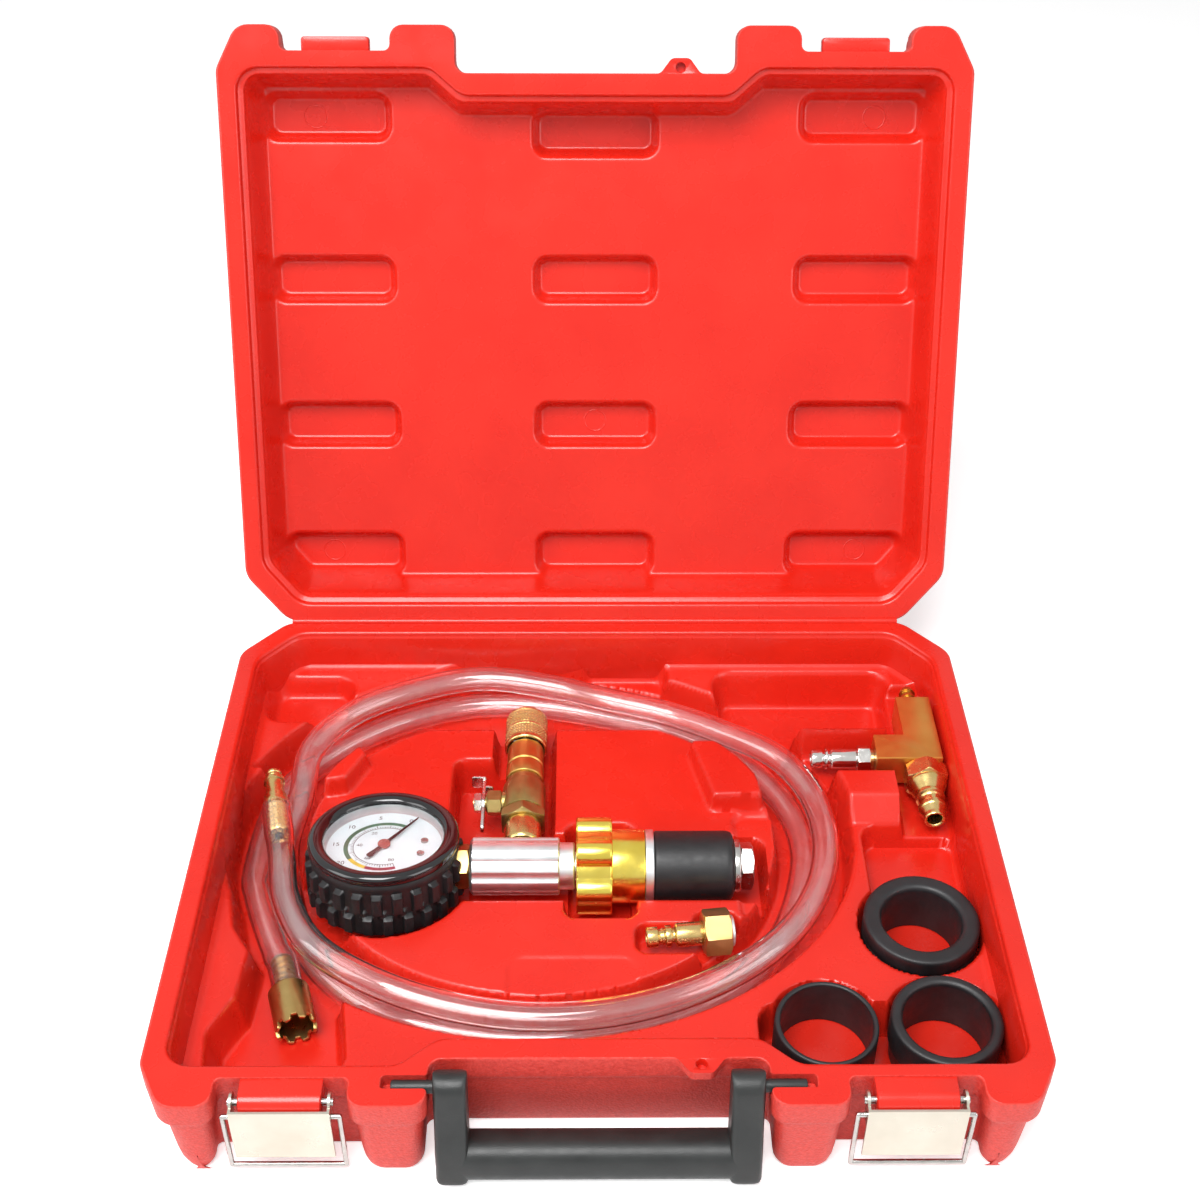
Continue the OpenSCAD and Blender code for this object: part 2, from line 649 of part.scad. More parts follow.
module coupler_spring() color(silver) valve_place() {
    turns = 7;
    y0 = shoulder_y + 0.6;
    y1 = ring_y - 0.6;
    rise = (y1 - y0) / (8 * turns);
    tube([for (i = [0:8 * turns]) [7.55 * cos(45 * i), y0 + rise * i, 7.55 * sin(45 * i)]], 0.45, 6);
}

// Expander: tube, knob, washer, rubber and end nut
knob_x0 = manifold_x2 + 0.6;
wheel_x1 = knob_x0 + 15.4;
hub_x1 = wheel_x1 + 14;
washer_x0 = hub_x1 + 0.1;
washer_x1 = washer_x0 + 3.6;
rubber_x0 = washer_x1 + 0.2;
rubber_x1 = rubber_x0 + rubber_len;
nut_x0 = rubber_x1 + 0.2;
nut_len = 8.6;
nut_x1 = nut_x0 + nut_len;
module expander_tube() color(silver) tool_place() difference() {
    along_x(tube_d / 2, manifold_x1 - 5.9, nut_x1 - 0.5);
    along_x(3.5, manifold_x1 - 8, nut_x1 + 1);
}
module expander_knob() color(gold) tool_place() difference() {
    union() {
        translate([knob_x0, 0, 0]) rotate([90, 0, 90]) linear_extrude(wheel_x1 - knob_x0) {
            circle(r = knob_r - 4);
            for (i = [0:knob_lobes - 1]) rotate(360 * (i + 0.87) / knob_lobes)
                translate([knob_r - 6, 0]) circle(r = 6);
        }
        along_x(15.8, wheel_x1 - 1, hub_x1);
    }
    along_x(tube_d / 2 + run_gap, knob_x0 - 1, hub_x1 + 1);
}
module press_washer() color(silver) tool_place() difference() {
    along_x(15.6, washer_x0, washer_x1);
    along_x(tube_d / 2 + run_gap, washer_x0 - 1, washer_x1 + 1);
}
module expander_rubber() color(rubber_black) tool_place() difference() {
    along_x(rubber_d / 2, rubber_x0, rubber_x1);
    along_x(tube_d / 2 + run_gap, rubber_x0 - 1, rubber_x1 + 1);
}
module expander_nut() color(silver) tool_place() difference() {
    union() {
        along_x(11.5, nut_x0, nut_x0 + 2.8);
        hex_x(18, nut_x0 + 2.5, nut_x1);
    }
    along_x(tube_d / 2 + thread_gap, nut_x0 - 1, nut_x1 + 1);
}

// Venturi, with its own frame at the crossing of the block's two arms
venturi_at = [in_x - 10.5, 58, 28];
arm = 16;
coupling_flats = 18;
venturi_floor = venturi_at.z - coupling_flats / 2 / cos(30) - 0.3;
module venturi_place() {
    translate(venturi_at) children();
}
module venturi_block() color(orange_brass) venturi_place() difference() {
    half = arm / 2;
    prism([[-22, -half], [half, -half], [half, 34], [-half, 34], [-half, half], [-22, half]],
        -block_t / 2, block_t / 2);
    along_y(2.4, -arm, 20);
    along_y(3.05, 24, 35);
    along_y(5.05, -arm / 2 - 1, 0);
    along_x(2, -20, 0);
    along_x(3.55, -23, -14);
}
module venturi_barb() color(brass) venturi_place() difference() {
    union() {
        along_y(3, 25, 35);
        along_y(2.6, 34, 47);
        for (i = [0:2]) translate([0, 36 + 4 * i, 0]) rotate([-90, 0, 0])
            cylinder(r1 = 3.9, r2 = 2.7, h = 3.4);
    }
    along_y(1.6, 24, 48);
}
module venturi_plug() color(nickel) venturi_place() difference() {
    union() {
        along_x(3.5, -24, -14.2);
        hex_x(11, -30, -23.8);
        along_x(4.6, -42, -29.8);
        along_x(3.2, -46, -41.8);
        along_x(4.2, -51, -45.8);
        along_x(4.9, -44.6, -43.4);
    }
    along_x(2, -52, -14);
}
module venturi_coupling() color(brass) venturi_place() difference() {
    union() {
        along_y(5, -arm / 2 - 1, -0.2);
        rotate([0, 30, 0]) hex_y(coupling_flats, -arm / 2 - 9, -arm / 2);
        translate([0, -arm / 2 - 16, 0]) rotate([-90, 0, 0]) cylinder(r1 = 6.2, r2 = 8.8, h = 7.2);
        along_y(6.1, -arm / 2 - 20, -arm / 2 - 15.8);
        along_y(4.7, -arm / 2 - 24, -arm / 2 - 19.8);
        along_y(5.9, -arm / 2 - 28, -arm / 2 - 23.8);
        along_y(4.6, -arm / 2 - 31, -arm / 2 - 27.8);
    }
    along_y(3.3, -arm / 2 - 32, 0.2);
}
module venturi_jet() color(brass) venturi_place() difference() {
    along_y(2.3, 2, 18);
    along_y(0.8, 1, 19);
}

// Adapter
adapter_at = [20, -45.5, 26];
nut_flats = 17;
adapter_floor = adapter_at.z - nut_flats / 2 / cos(30) - 0.3;
module adapter_place() {
    translate(adapter_at) rotate([0, 0, 6]) children();
}
module adapter_nipple() color(brass) adapter_place() difference() {
    union() {
        along_x(4.2, 0, 5);
        along_x(3.1, 4.8, 8);
        along_x(4.4, 7.8, 10.4);
        along_x(3.2, 10.2, 12);
        along_x(5, 11.8, 26);
        along_x(6.4, 25.8, 30);
    }
    along_x(2.2, -1, 31);
}
module adapter_nut() color(orange_brass) adapter_place() difference() {
    hex_x(nut_flats, 23.5, 35);
    along_x(5 + run_gap, 23, 26);
    along_x(6.7, 25.6, 36);
}
module adapter_seal() color(silver) adapter_place() difference() {
    along_x(6.4, 30.05, 36.4);
    along_x(4, 30, 39);
}

// Cone rings
ring_floor = floor_z + 0.1;
module ring_large() color(rubber_black) translate([large_c.x, large_c.y, ring_floor]) difference() {
    union() {
        cylinder(r = ring_large_r - 2.6, h = ring_h);
        translate([0, 0, ring_h * 0.38]) cylinder(r = ring_large_r, h = ring_h * 0.62);
        cylinder(r = ring_large_r - 1.2, h = ring_h * 0.22);
    }
    translate([0, 0, -1]) cylinder(r = ring_large_r - 7.6, h = ring_h + 2);
}
module ring_thin() color(rubber_black) translate([thin_c.x, thin_c.y, ring_floor]) difference() {
    cylinder(r = ring_thin_r, h = ring_h - 2);
    translate([0, 0, -1]) cylinder(r = ring_thin_r - 2.4, h = ring_h + 2);
}
module ring_medium() color(rubber_black) translate([medium_c.x, medium_c.y, ring_floor]) difference() {
    union() {
        cylinder(r = ring_medium_r - 1.4, h = ring_h);
        translate([0, 0, ring_h * 0.4]) cylinder(r = ring_medium_r, h = ring_h * 0.6);
    }
    translate([0, 0, -1]) cylinder(r = ring_medium_r - 4.8, h = ring_h + 2);
}

// Tube swept along points, closed at both ends
function path_dir(p, i) = unit(p[min(i + 1, len(p) - 1)] - p[max(i - 1, 0)]);
function ring_at(p, i, r, sides) =
    let (d = path_dir(p, i), u = unit(cross(d, abs(d.z) < 0.9 ? [0, 0, 1] : [0, 1, 0])), w = cross(d, u))
    [for (k = [0:sides - 1]) p[i] + r * (cos(360 * k / sides) * u + sin(360 * k / sides) * w)];
module tube(p, r, sides) {
    n = len(p);
    points = concat([for (i = [0:n - 1]) each ring_at(p, i, r, sides)], [p[0], p[n - 1]]);
    first = n * sides;
    skin = [for (i = [0:n - 2], k = [0:sides - 1]) let (a = i * sides + k, b = i * sides + (k + 1) % sides)
        each [[b, a, b + sides], [b + sides, a, a + sides]]];
    ends = [for (k = [0:sides - 1]) let (a = k, b = (k + 1) % sides, m = (n - 1) * sides)
        each [[a, b, first], [m + b, m + a, first + 1]]];
    polyhedron(points, concat(skin, ends));
}

// Hose: led from the plug, wound round the oval and led out to the foot
function ease(t) = let (c = max(0, min(1, t))) c * c * (3 - 2 * c);
function coil_in(a) =
    a < 60 ? coil_pinch * (1 - ease((a - 8) / 42))
    : a < 360 ? 3 * ease((a - 140) / 50) + 10 * ease((a - 200) / 34)
        - (13 + coil_bulge) * ease((a - 252) / 38) + (coil_pinch + coil_bulge) * ease((a - 318) / 28)
    : a < 450 ? coil_pinch * (1 - ease((a - 372) / 48))
    : a < 560 ? 11 * ease((a - 480) / 50)
    : 11 - 10 * ease((a - 612) / 40);
lead_z = island_z + hose_d / 2 + 0.3;
lower_z = floor_z + hose_d / 2 + 0.3;
upper_z = lower_z + hose_d + 1;
function coil_z(a) =
    a < 200 ? lead_z - (lead_z - upper_z) * ease((a - 40) / 62)
    : upper_z - (upper_z - lower_z) * ease((a - 332) / 40);
function coil_at(a) =
    [coil_c.x - (coil_a - coil_in(a)) * cos(a), coil_c.y - (coil_b - coil_in(a)) * sin(a), coil_z(a)];
coil_step = 360 / loop_rings;
foot_r = 8.4;
foot_z = floor_z + foot_r + 0.3;
function from_coil(plan, z) = [for (q = plan) [coil_c.x + q.x, coil_c.y + q.y, z]];
lead_in = from_coil([[-116.8, 7.8], [-114.3, -4.2]], lead_z);
lead_out = concat(from_coil([[-125, -13]], lower_z + 0.4), from_coil([[-121.5, -29]], lower_z + 1.2),
    from_coil([[-115.5, -45], [-109.5, -59], [-105.6, -66.5], [-102, -78]], foot_z));
hose_path = concat(lead_in, [for (a = [14:coil_step:718]) coil_at(a)], lead_out);
function seg_len(p) = [for (i = [1:len(p) - 1]) norm(p[i] - p[i - 1])];
function total(v, i = 0) = i < len(v) ? v[i] + total(v, i + 1) : 0;
hose_length = total(seg_len(hose_path));
hose_gap = min([for (i = [0:len(hose_path) - 1], j = [0:len(hose_path) - 1]) if (j > i + 3)
    norm(hose_path[i] - hose_path[j])]) - hose_d;
echo(hose_length = hose_length, hose_gap = hose_gap);
module hose_tube() color(clear_hose) tube(hose_path, hose_d / 2, 8);

// A fitting drawn along +X from the hose end, turned to the hose's own direction
module at_end(p, from) {
    d = unit(p - from);
    translate(p) rotate([0, -asin(d.z), atan2(d.y, d.x)]) children();
}
module hose_plug() color(brass) at_end(lead_in[0], lead_in[1]) difference() {
    union() {
        along_x(6, 0.1, 2);
        along_x(5.2, 1.9, 6);
        along_x(4, 5.8, 15);
        along_x(4.8, 14.8, 17.4);
        along_x(3.6, 17.2, 22);
    }
    along_x(2.2, 0, 23);
}
module hose_foot() color(brass) at_end(lead_out[5], lead_out[4]) difference() {
    union() {
        along_x(6, 0.1, 1.6);
        along_x(foot_r, 1.5, 22);
    }
    along_x(2.4, 0, 8);
    along_x(foot_r - 1.5, 6, 23);
    for (i = [0:3]) rotate([45 * i, 0, 0]) translate([20.5, -12, -2.2]) cube([5, 24, 4.4]);
}

case_base();
case_lid();
hinge_strip();
carry_handle();
latch_plate_left();
latch_plate_right();
latch_bail_left();
latch_bail_right();
latch_pins();
gauge_boot();
gauge_case();
gauge_bezel();
gauge_lens();
gauge_dial();
dial_screws();
gauge_needle();
gauge_movement();
bourdon_tube();
gauge_stem();
manifold_body();
valve_nipple();
valve_body();
valve_ball();
valve_seats();
valve_stem();
valve_lever();
lever_nut();
coupler_body();
coupler_sleeve();
coupler_spring();
coupler_balls();
coupler_seal();
expander_tube();
expander_knob();
press_washer();
expander_rubber();
expander_nut();
venturi_block();
venturi_barb();
venturi_plug();
venturi_coupling();
venturi_jet();
adapter_nipple();
adapter_nut();
adapter_seal();
ring_large();
ring_thin();
ring_medium();
hose_tube();
hose_plug();
hose_foot();
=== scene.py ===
# Coolant vacuum refill kit in its open moulded case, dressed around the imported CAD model.
# Sizes are in millimetres and each finished mesh is put into the model's metres.
import math
import bmesh
import bpy
import numpy as np
from mathutils import Matrix, Vector
from mathutils.geometry import tessellate_polygon


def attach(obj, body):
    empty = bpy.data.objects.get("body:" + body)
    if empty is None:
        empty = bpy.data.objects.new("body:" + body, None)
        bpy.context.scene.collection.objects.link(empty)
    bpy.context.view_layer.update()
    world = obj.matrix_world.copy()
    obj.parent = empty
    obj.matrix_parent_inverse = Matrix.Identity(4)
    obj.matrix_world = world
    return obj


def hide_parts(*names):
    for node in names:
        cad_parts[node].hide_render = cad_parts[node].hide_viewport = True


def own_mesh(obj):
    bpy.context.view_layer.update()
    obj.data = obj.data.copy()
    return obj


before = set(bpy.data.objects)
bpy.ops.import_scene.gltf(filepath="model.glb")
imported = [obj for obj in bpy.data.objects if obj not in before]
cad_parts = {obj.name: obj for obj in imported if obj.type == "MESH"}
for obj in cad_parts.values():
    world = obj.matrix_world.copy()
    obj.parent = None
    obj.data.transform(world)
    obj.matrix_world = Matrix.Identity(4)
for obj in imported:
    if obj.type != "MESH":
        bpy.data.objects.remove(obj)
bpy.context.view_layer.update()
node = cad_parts

# Camera: stands in front of the case and looks down on it, with a long lens and almost no roll.
# Place, angle and focal length were worked out from the straight edges of the case.
camera = bpy.data.objects.new("camera", bpy.data.cameras.new("camera"))
camera.data.lens, camera.data.sensor_width = 50.25, 36.0
camera.data.clip_start, camera.data.clip_end = 0.02, 50.0
camera.matrix_world = (
    Matrix.Translation((-0.0054, -0.4989, 0.5630))
    @ Matrix.Rotation(math.radians(-0.69), 4, "Z")
    @ Matrix.Rotation(math.radians(90 - 38.42), 4, "X")
    @ Matrix.Rotation(math.radians(0.39), 4, "Z")
)
bpy.context.scene.collection.objects.link(camera)
bpy.context.scene.camera = camera

# Studio: a pale floor under the case, a white surround and three large soft lamps.
# The floor takes the shadow, and the surround shows in the metal.
scene = bpy.context.scene
scene.view_settings.view_transform = "Standard"


def soft_lamp(name, place, aim, watts, size):
    """An area lamp at place, turned so that its -Z axis points at aim."""
    lamp = bpy.data.objects.new(name, bpy.data.lights.new(name, "AREA"))
    lamp.data.energy, lamp.data.size = watts, size
    away = Matrix.Translation(place).to_translation() - Matrix.Translation(aim).to_translation()
    lamp.matrix_world = Matrix.Translation(place) @ away.to_track_quat("Z", "Y").to_matrix().to_4x4()
    scene.collection.objects.link(lamp)


soft_lamp("lamp_top", (-0.25, -0.55, 1.36), (0, 0, 0.05), 25, 0.8)
soft_lamp("lamp_left", (-1.3, -0.5, 0.9), (0, 0, 0.08), 9, 0.9)
soft_lamp("lamp_right", (1.2, -0.7, 0.7), (0, 0, 0.08), 7, 0.9)

world = bpy.data.worlds.new("surround")
scene.world = world
world.use_nodes = True
wt = world.node_tree
seen = wt.nodes.new("ShaderNodeLightPath")
shown = wt.nodes.new("ShaderNodeMath")
shown.operation, shown.use_clamp = "MULTIPLY_ADD", True
shown.inputs[1].default_value = 0.72
bright = wt.nodes.new("ShaderNodeMath")
bright.operation, bright.use_clamp = "ADD", True
level = wt.nodes.new("ShaderNodeMapRange")
level.inputs["To Min"].default_value, level.inputs["To Max"].default_value = 0.19, 1.0
wt.links.new(seen.outputs["Is Glossy Ray"], shown.inputs[0])
wt.links.new(seen.outputs["Is Camera Ray"], shown.inputs[2])
wt.links.new(shown.outputs[0], bright.inputs[0])
wt.links.new(seen.outputs["Is Transmission Ray"], bright.inputs[1])
wt.links.new(bright.outputs[0], level.inputs["Value"])
wt.links.new(level.outputs[0], wt.nodes["Background"].inputs["Strength"])
wt.nodes["Background"].inputs["Color"].default_value = (1, 1, 1, 1)

floor_mesh = bpy.data.meshes.new("studio_floor")
floor_mesh.from_pydata([(-6, -6, 0), (6, -6, 0), (6, 6, 0), (-6, 6, 0)], [], [(0, 1, 2, 3)])
studio_floor = bpy.data.objects.new("studio_floor", floor_mesh)
scene.collection.objects.link(studio_floor)
floor_paint = bpy.data.materials.new("pale_floor")
floor_paint.use_nodes = True
ft = floor_paint.node_tree
plain = ft.nodes["Principled BSDF"]
plain.inputs["Base Color"].default_value = (0.93, 0.93, 0.93, 1)
plain.inputs["Roughness"].default_value = 0.9
plain.inputs["Specular IOR Level"].default_value = 0.1
path = ft.nodes.new("ShaderNodeLightPath")
glow = ft.nodes.new("ShaderNodeMath")
glow.operation = "MULTIPLY"
glow.inputs[1].default_value = 0.5
ft.links.new(path.outputs["Is Camera Ray"], glow.inputs[0])
ft.links.new(glow.outputs[0], plain.inputs["Emission Strength"])
plain.inputs["Emission Color"].default_value = (1, 1, 1, 1)
floor_mesh.materials.append(floor_paint)

# Hose: a clear soft PVC tube, 12 mm across with an 8 mm bore, wound twice round the tray.
# It is cut from a reel and pushed over the ribbed tails of its two brass ends.
def eased(t):
    """Smooth step: 3c^2 - 2c^3, with c the number t held between 0 and 1."""
    c = np.clip(t, 0, 1)
    return c * c * (3 - 2 * c)


def unit(v):
    """Vectors divided by their lengths."""
    return v / np.linalg.norm(v, axis=-1, keepdims=True)


def through(points, steps):
    """Catmull-Rom curve: between two points it is the cubic whose end slopes are half the chord
    from the point before to the point after; each span is cut into the same number of steps."""
    p = np.vstack([2 * points[0] - points[1], points, 2 * points[-1] - points[-2]])
    t = np.linspace(0, 1, steps, endpoint=False)[:, None, None]
    a, b, c, d = p[:-3], p[1:-2], p[2:-1], p[3:]
    span = 0.5 * (2 * b + (c - a) * t + (2 * a - 5 * b + 4 * c - d) * t**2 + (3 * b - a - 3 * c + d) * t**3)
    return np.vstack([span.transpose(1, 0, 2).reshape(-1, 3), points[-1:]])


def grid_faces(rows, cols):
    """Quads between neighbouring rows and columns of a grid of points."""
    i, j = np.meshgrid(np.arange(rows - 1), np.arange(cols - 1), indexing="ij")
    corner = i * cols + j
    return np.stack([corner, corner + 1, corner + cols + 1, corner + cols], -1).reshape(-1, 4)


def swept(path, across, up):
    """A section carried along a path: point = station + first * side + second * normal, where side is
    at right angles to the tangent and to up, and normal to both. Returns a grid of points."""
    tangent = unit(np.gradient(path, axis=0))
    side = unit(np.cross(tangent, up))
    normal = np.cross(side, tangent)
    return path[:, None] + across[..., :1] * side[:, None] + across[..., 1:] * normal[:, None]


def circle(count):
    """Points of a unit circle, the first repeated at the end so that a seam keeps its own UV."""
    angle = np.linspace(0, 2 * np.pi, count + 1)
    return np.stack([np.cos(angle), np.sin(angle)], -1)


def shape(name, parts, paint, body, sharp=32, outward=True):
    """Joins grids or (points, faces) pairs, in millimetres, into one mesh in metres. A grid gets a UV
    map of its column share and its length in metres; doubles are merged, which closes the seams."""
    points, faces, uvs, base = [], [], [], 0
    for part in parts:
        if isinstance(part, tuple):
            p, f = np.asarray(part[0], float), part[1]
            uv = p[:, :2] * 0.001
        else:
            rows, cols = part.shape[:2]
            run = np.cumsum(np.r_[0, np.linalg.norm(np.diff(part.mean(1), axis=0), axis=-1)
                            + np.abs(np.diff(np.ptp(part, 1).max(-1))) / 2])
            uv = np.stack(np.broadcast_arrays(np.linspace(0, 1, cols), run[:, None] * 0.001), -1).reshape(-1, 2)
            p, f = part.reshape(-1, 3), grid_faces(rows, cols)
        faces += [[k + base for k in face] for face in (f.tolist() if hasattr(f, "tolist") else f)]
        points.append(p)
        uvs.append(uv)
        base += len(p)
    mesh = bpy.data.meshes.new(name)
    mesh.from_pydata(np.vstack(points) * 0.001, [], faces)
    layer = mesh.uv_layers.new(name="along")
    corner = np.empty(len(mesh.loops), int)
    mesh.loops.foreach_get("vertex_index", corner)
    layer.data.foreach_set("uv", np.vstack(uvs)[corner].ravel())
    work = bmesh.new()
    work.from_mesh(mesh)
    bmesh.ops.remove_doubles(work, verts=work.verts, dist=2e-6)
    if outward:
        bmesh.ops.recalc_face_normals(work, faces=work.faces)
    work.to_mesh(mesh)
    work.free()
    mesh.shade_smooth()
    mesh.set_sharp_from_angle(angle=math.radians(sharp))
    mesh.materials.append(paint)
    piece = bpy.data.objects.new(name, mesh)
    scene.collection.objects.link(piece)
    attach(piece, body)
    return piece


def new_group(name, numbers, outputs):
    """A shader node group with number inputs, given with their values, and the outputs named."""
    group = bpy.data.node_groups.new(name, "ShaderNodeTree")
    group.interface.new_socket("Vector", in_out="INPUT", socket_type="NodeSocketVector")
    for label, value in numbers.items():
        group.interface.new_socket(label, in_out="INPUT", socket_type="NodeSocketFloat").default_value = value
    for label in outputs:
        group.interface.new_socket(label, in_out="OUTPUT", socket_type="NodeSocketFloat")
    return group, group.nodes.new("NodeGroupInput"), group.nodes.new("NodeGroupOutput")


def join(tree, source, target):
    """Links an output socket to an input socket."""
    tree.links.new(source, target)


# Cloudiness: soft noise between two levels, for tone and gloss that change over a surface.
cloud, give, take = new_group("cloudiness", {"Scale": 60, "Low": 0, "High": 1, "Detail": 4}, ["Value"])
noise = cloud.nodes.new("ShaderNodeTexNoise")
spread = cloud.nodes.new("ShaderNodeMapRange")
spread.inputs["From Min"].default_value, spread.inputs["From Max"].default_value = 0.3, 0.7
join(cloud, give.outputs["Vector"], noise.inputs["Vector"])
join(cloud, give.outputs["Scale"], noise.inputs["Scale"])
join(cloud, give.outputs["Detail"], noise.inputs["Detail"])
join(cloud, noise.outputs["Fac"], spread.inputs["Value"])
join(cloud, give.outputs["Low"], spread.inputs["To Min"])
join(cloud, give.outputs["High"], spread.inputs["To Max"])
join(cloud, spread.outputs["Result"], take.inputs["Value"])


def finish(name, dark, light, rough, metal=0.0, tone_scale=60, uv=False, stretch=(1, 1, 1), **sockets):
    """A material whose colour goes between two tones, and whose roughness goes between two levels, by
    the cloudiness group; plain numbers go on the shader's own sockets."""
    paint = bpy.data.materials.new(name)
    paint.use_nodes = True
    tree = paint.node_tree
    shader = tree.nodes["Principled BSDF"]
    shader.inputs["Metallic"].default_value = metal
    for label, value in sockets.items():
        shader.inputs[label.replace("_", " ")].default_value = value
    where = tree.nodes.new("ShaderNodeTexCoord")
    place = tree.nodes.new("ShaderNodeMapping")
    place.inputs["Scale"].default_value = stretch
    join(tree, where.outputs["UV" if uv else "Object"], place.inputs["Vector"])
    tone = tree.nodes.new("ShaderNodeGroup")
    tone.node_tree = cloud
    tone.inputs["Scale"].default_value = tone_scale
    blend = tree.nodes.new("ShaderNodeMix")
    blend.data_type = "RGBA"
    blend.inputs["A"].default_value, blend.inputs["B"].default_value = (*dark, 1), (*light, 1)
    gloss = tree.nodes.new("ShaderNodeGroup")
    gloss.node_tree = cloud
    gloss.inputs["Scale"].default_value = tone_scale * 2.7
    gloss.inputs["Low"].default_value, gloss.inputs["High"].default_value = rough
    for source in (tone, gloss):
        join(tree, place.outputs["Vector"], source.inputs["Vector"])
    join(tree, tone.outputs["Value"], blend.inputs["Factor"])
    join(tree, blend.outputs["Result"], shader.inputs["Base Color"])
    join(tree, gloss.outputs["Value"], shader.inputs["Roughness"])
    return paint


hose_r, hose_bore = 6.0, 4.1
coil_at = np.array([-24.5, 17.0])
coil_half = np.array([127.5, 101.5])
turn = np.arange(14, 705, 15.0)
pull = np.select(
    [turn < 60, turn < 360, turn < 450, turn < 560],
    [14.5 * (1 - eased((turn - 8) / 42)), 3 * eased((turn - 140) / 50) + 10 * eased((turn - 200) / 34)
     - 17 * eased((turn - 252) / 38) + 18.5 * eased((turn - 318) / 28),
     14.5 * (1 - eased((turn - 372) / 48)), 11 * eased((turn - 480) / 50)],
    11 - 10 * eased((turn - 612) / 40),
)
rise = np.where(turn < 200, 30.8 - 6.5 * eased((turn - 40) / 62), 24.3 - 13 * eased((turn - 332) / 40))
wound = np.stack([coil_at[0] - (coil_half[0] - pull) * np.cos(np.radians(turn)),
                  coil_at[1] - (coil_half[1] - pull) * np.sin(np.radians(turn)), rise], -1)
hose_start = np.array([(-141.3, 24.8, 30.8), (-138.8, 12.8, 30.8)])
hose_end = np.array([(-149.5, 4, 11.7), (-146, -12, 12.5), (-140, -28, 13.7), (-134, -42, 13.7),
                     (-130.1, -49.5, 13.7), (-126.5, -61, 13.7)])
hose_route = through(np.vstack([hose_start, wound, hose_end]), 6)
run = np.r_[0, np.cumsum(np.linalg.norm(np.diff(hose_route, axis=0), axis=1))]
span = run[-1]
stretch = (1 - eased((np.minimum(run, span - run) - 16) / 6))[:, None, None]
outer_wall = swept(hose_route, circle(28) * (hose_r + 0.45 * stretch), (0, 0, 1))
inner_wall = swept(hose_route, circle(28) * (hose_bore + 1.6 * stretch), (0, 0, 1))
hose_wall = np.concatenate([inner_wall[:1], outer_wall, inner_wall[::-1]])
clear_pvc = finish(
    "clear_pvc", (0.94, 0.86, 0.86), (0.98, 0.93, 0.93), (0.02, 0.07), tone_scale=40,
    Transmission_Weight=0.98, IOR=1.1, Coat_Weight=0.8, Coat_IOR=1.7, Coat_Roughness=0.08)
hose = shape("clear_hose", [hose_wall], clear_pvc, "hose", outward=False)
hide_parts("hose_tube")

# Hose ends: turned brass, each with a ribbed tail that the hose is pushed over.
# One is a quick plug, the other a foot with a crown of notches that stands in the coolant.
def lathe(profile, origin, axis, up=(0, 0, 1), sides=48, flats=None, phase=0.0):
    """Surface of revolution: each row (s, r) of the profile is a circle of radius r, a distance s along the
    axis. Where flats gives a width, the circle is cut by a hexagon of that width across its flats."""
    axis = unit(np.array(axis, float))
    side = unit(np.cross(up, axis))
    other = np.cross(axis, side)
    profile = np.array(profile, float)
    angle = np.linspace(0, 2 * np.pi, sides + 1)
    radius = np.repeat(profile[:, 1:2], sides + 1, 1)
    if flats is not None:
        sector = np.mod(angle - phase, np.pi / 3) - np.pi / 6
        limit = np.where(np.array(flats) > 0, np.array(flats) / 2, 1e6)[:, None] / np.cos(sector)
        radius = np.minimum(radius, limit)
    return (np.array(origin, float) + profile[:, None, :1] * axis
            + radius[..., None] * (np.cos(angle)[:, None] * side + np.sin(angle)[:, None] * other))


def turned(rows, origin, axis, ease=0.3, sides=48, phase=0.0, up=(0, 0, 1)):
    """A turned part: the lathe surface of rows (s, r) or (s, r, width across flats), with each corner
    between the first and last rows made a short curve that starts and ends one ease away from it."""
    p = np.array([(*row, 0)[:3] for row in rows], float)
    back, on = p[:-2] - p[1:-1], p[2:] - p[1:-1]
    far_back, far_on = (np.linalg.norm(v[:, :2], axis=1, keepdims=True) for v in (back, on))
    start = p[1:-1] + back / far_back * np.minimum(ease, 0.4 * far_back)
    stop = p[1:-1] + on / far_on * np.minimum(ease, 0.4 * far_on)
    bend = 0.25 * start + 0.5 * p[1:-1] + 0.25 * stop
    soft = np.stack([start, bend, stop], 1)
    soft[..., 2] = p[1:-1, None, 2]
    soft = np.vstack([p[:1], soft.reshape(-1, 3), p[-1:]])
    return lathe(soft[:, :2], origin, axis, up, sides, soft[:, 2], phase)


# Brushing: fine streaks along one direction, from noise that is stretched along it.
brushing, give, take = new_group("brushing", {"Scale": 300, "Along": 0.03}, ["Height"])
longer = brushing.nodes.new("ShaderNodeVectorMath")
longer.operation = "MULTIPLY"
ratio = brushing.nodes.new("ShaderNodeCombineXYZ")
streak = brushing.nodes.new("ShaderNodeTexNoise")
streak.inputs["Detail"].default_value = 3
ratio.inputs["Y"].default_value = ratio.inputs["Z"].default_value = 1.0
join(brushing, give.outputs["Along"], ratio.inputs["X"])
join(brushing, give.outputs["Vector"], longer.inputs[0])
join(brushing, ratio.outputs["Vector"], longer.inputs[1])
join(brushing, longer.outputs["Vector"], streak.inputs["Vector"])
join(brushing, give.outputs["Scale"], streak.inputs["Scale"])
join(brushing, streak.outputs["Fac"], take.inputs["Height"])


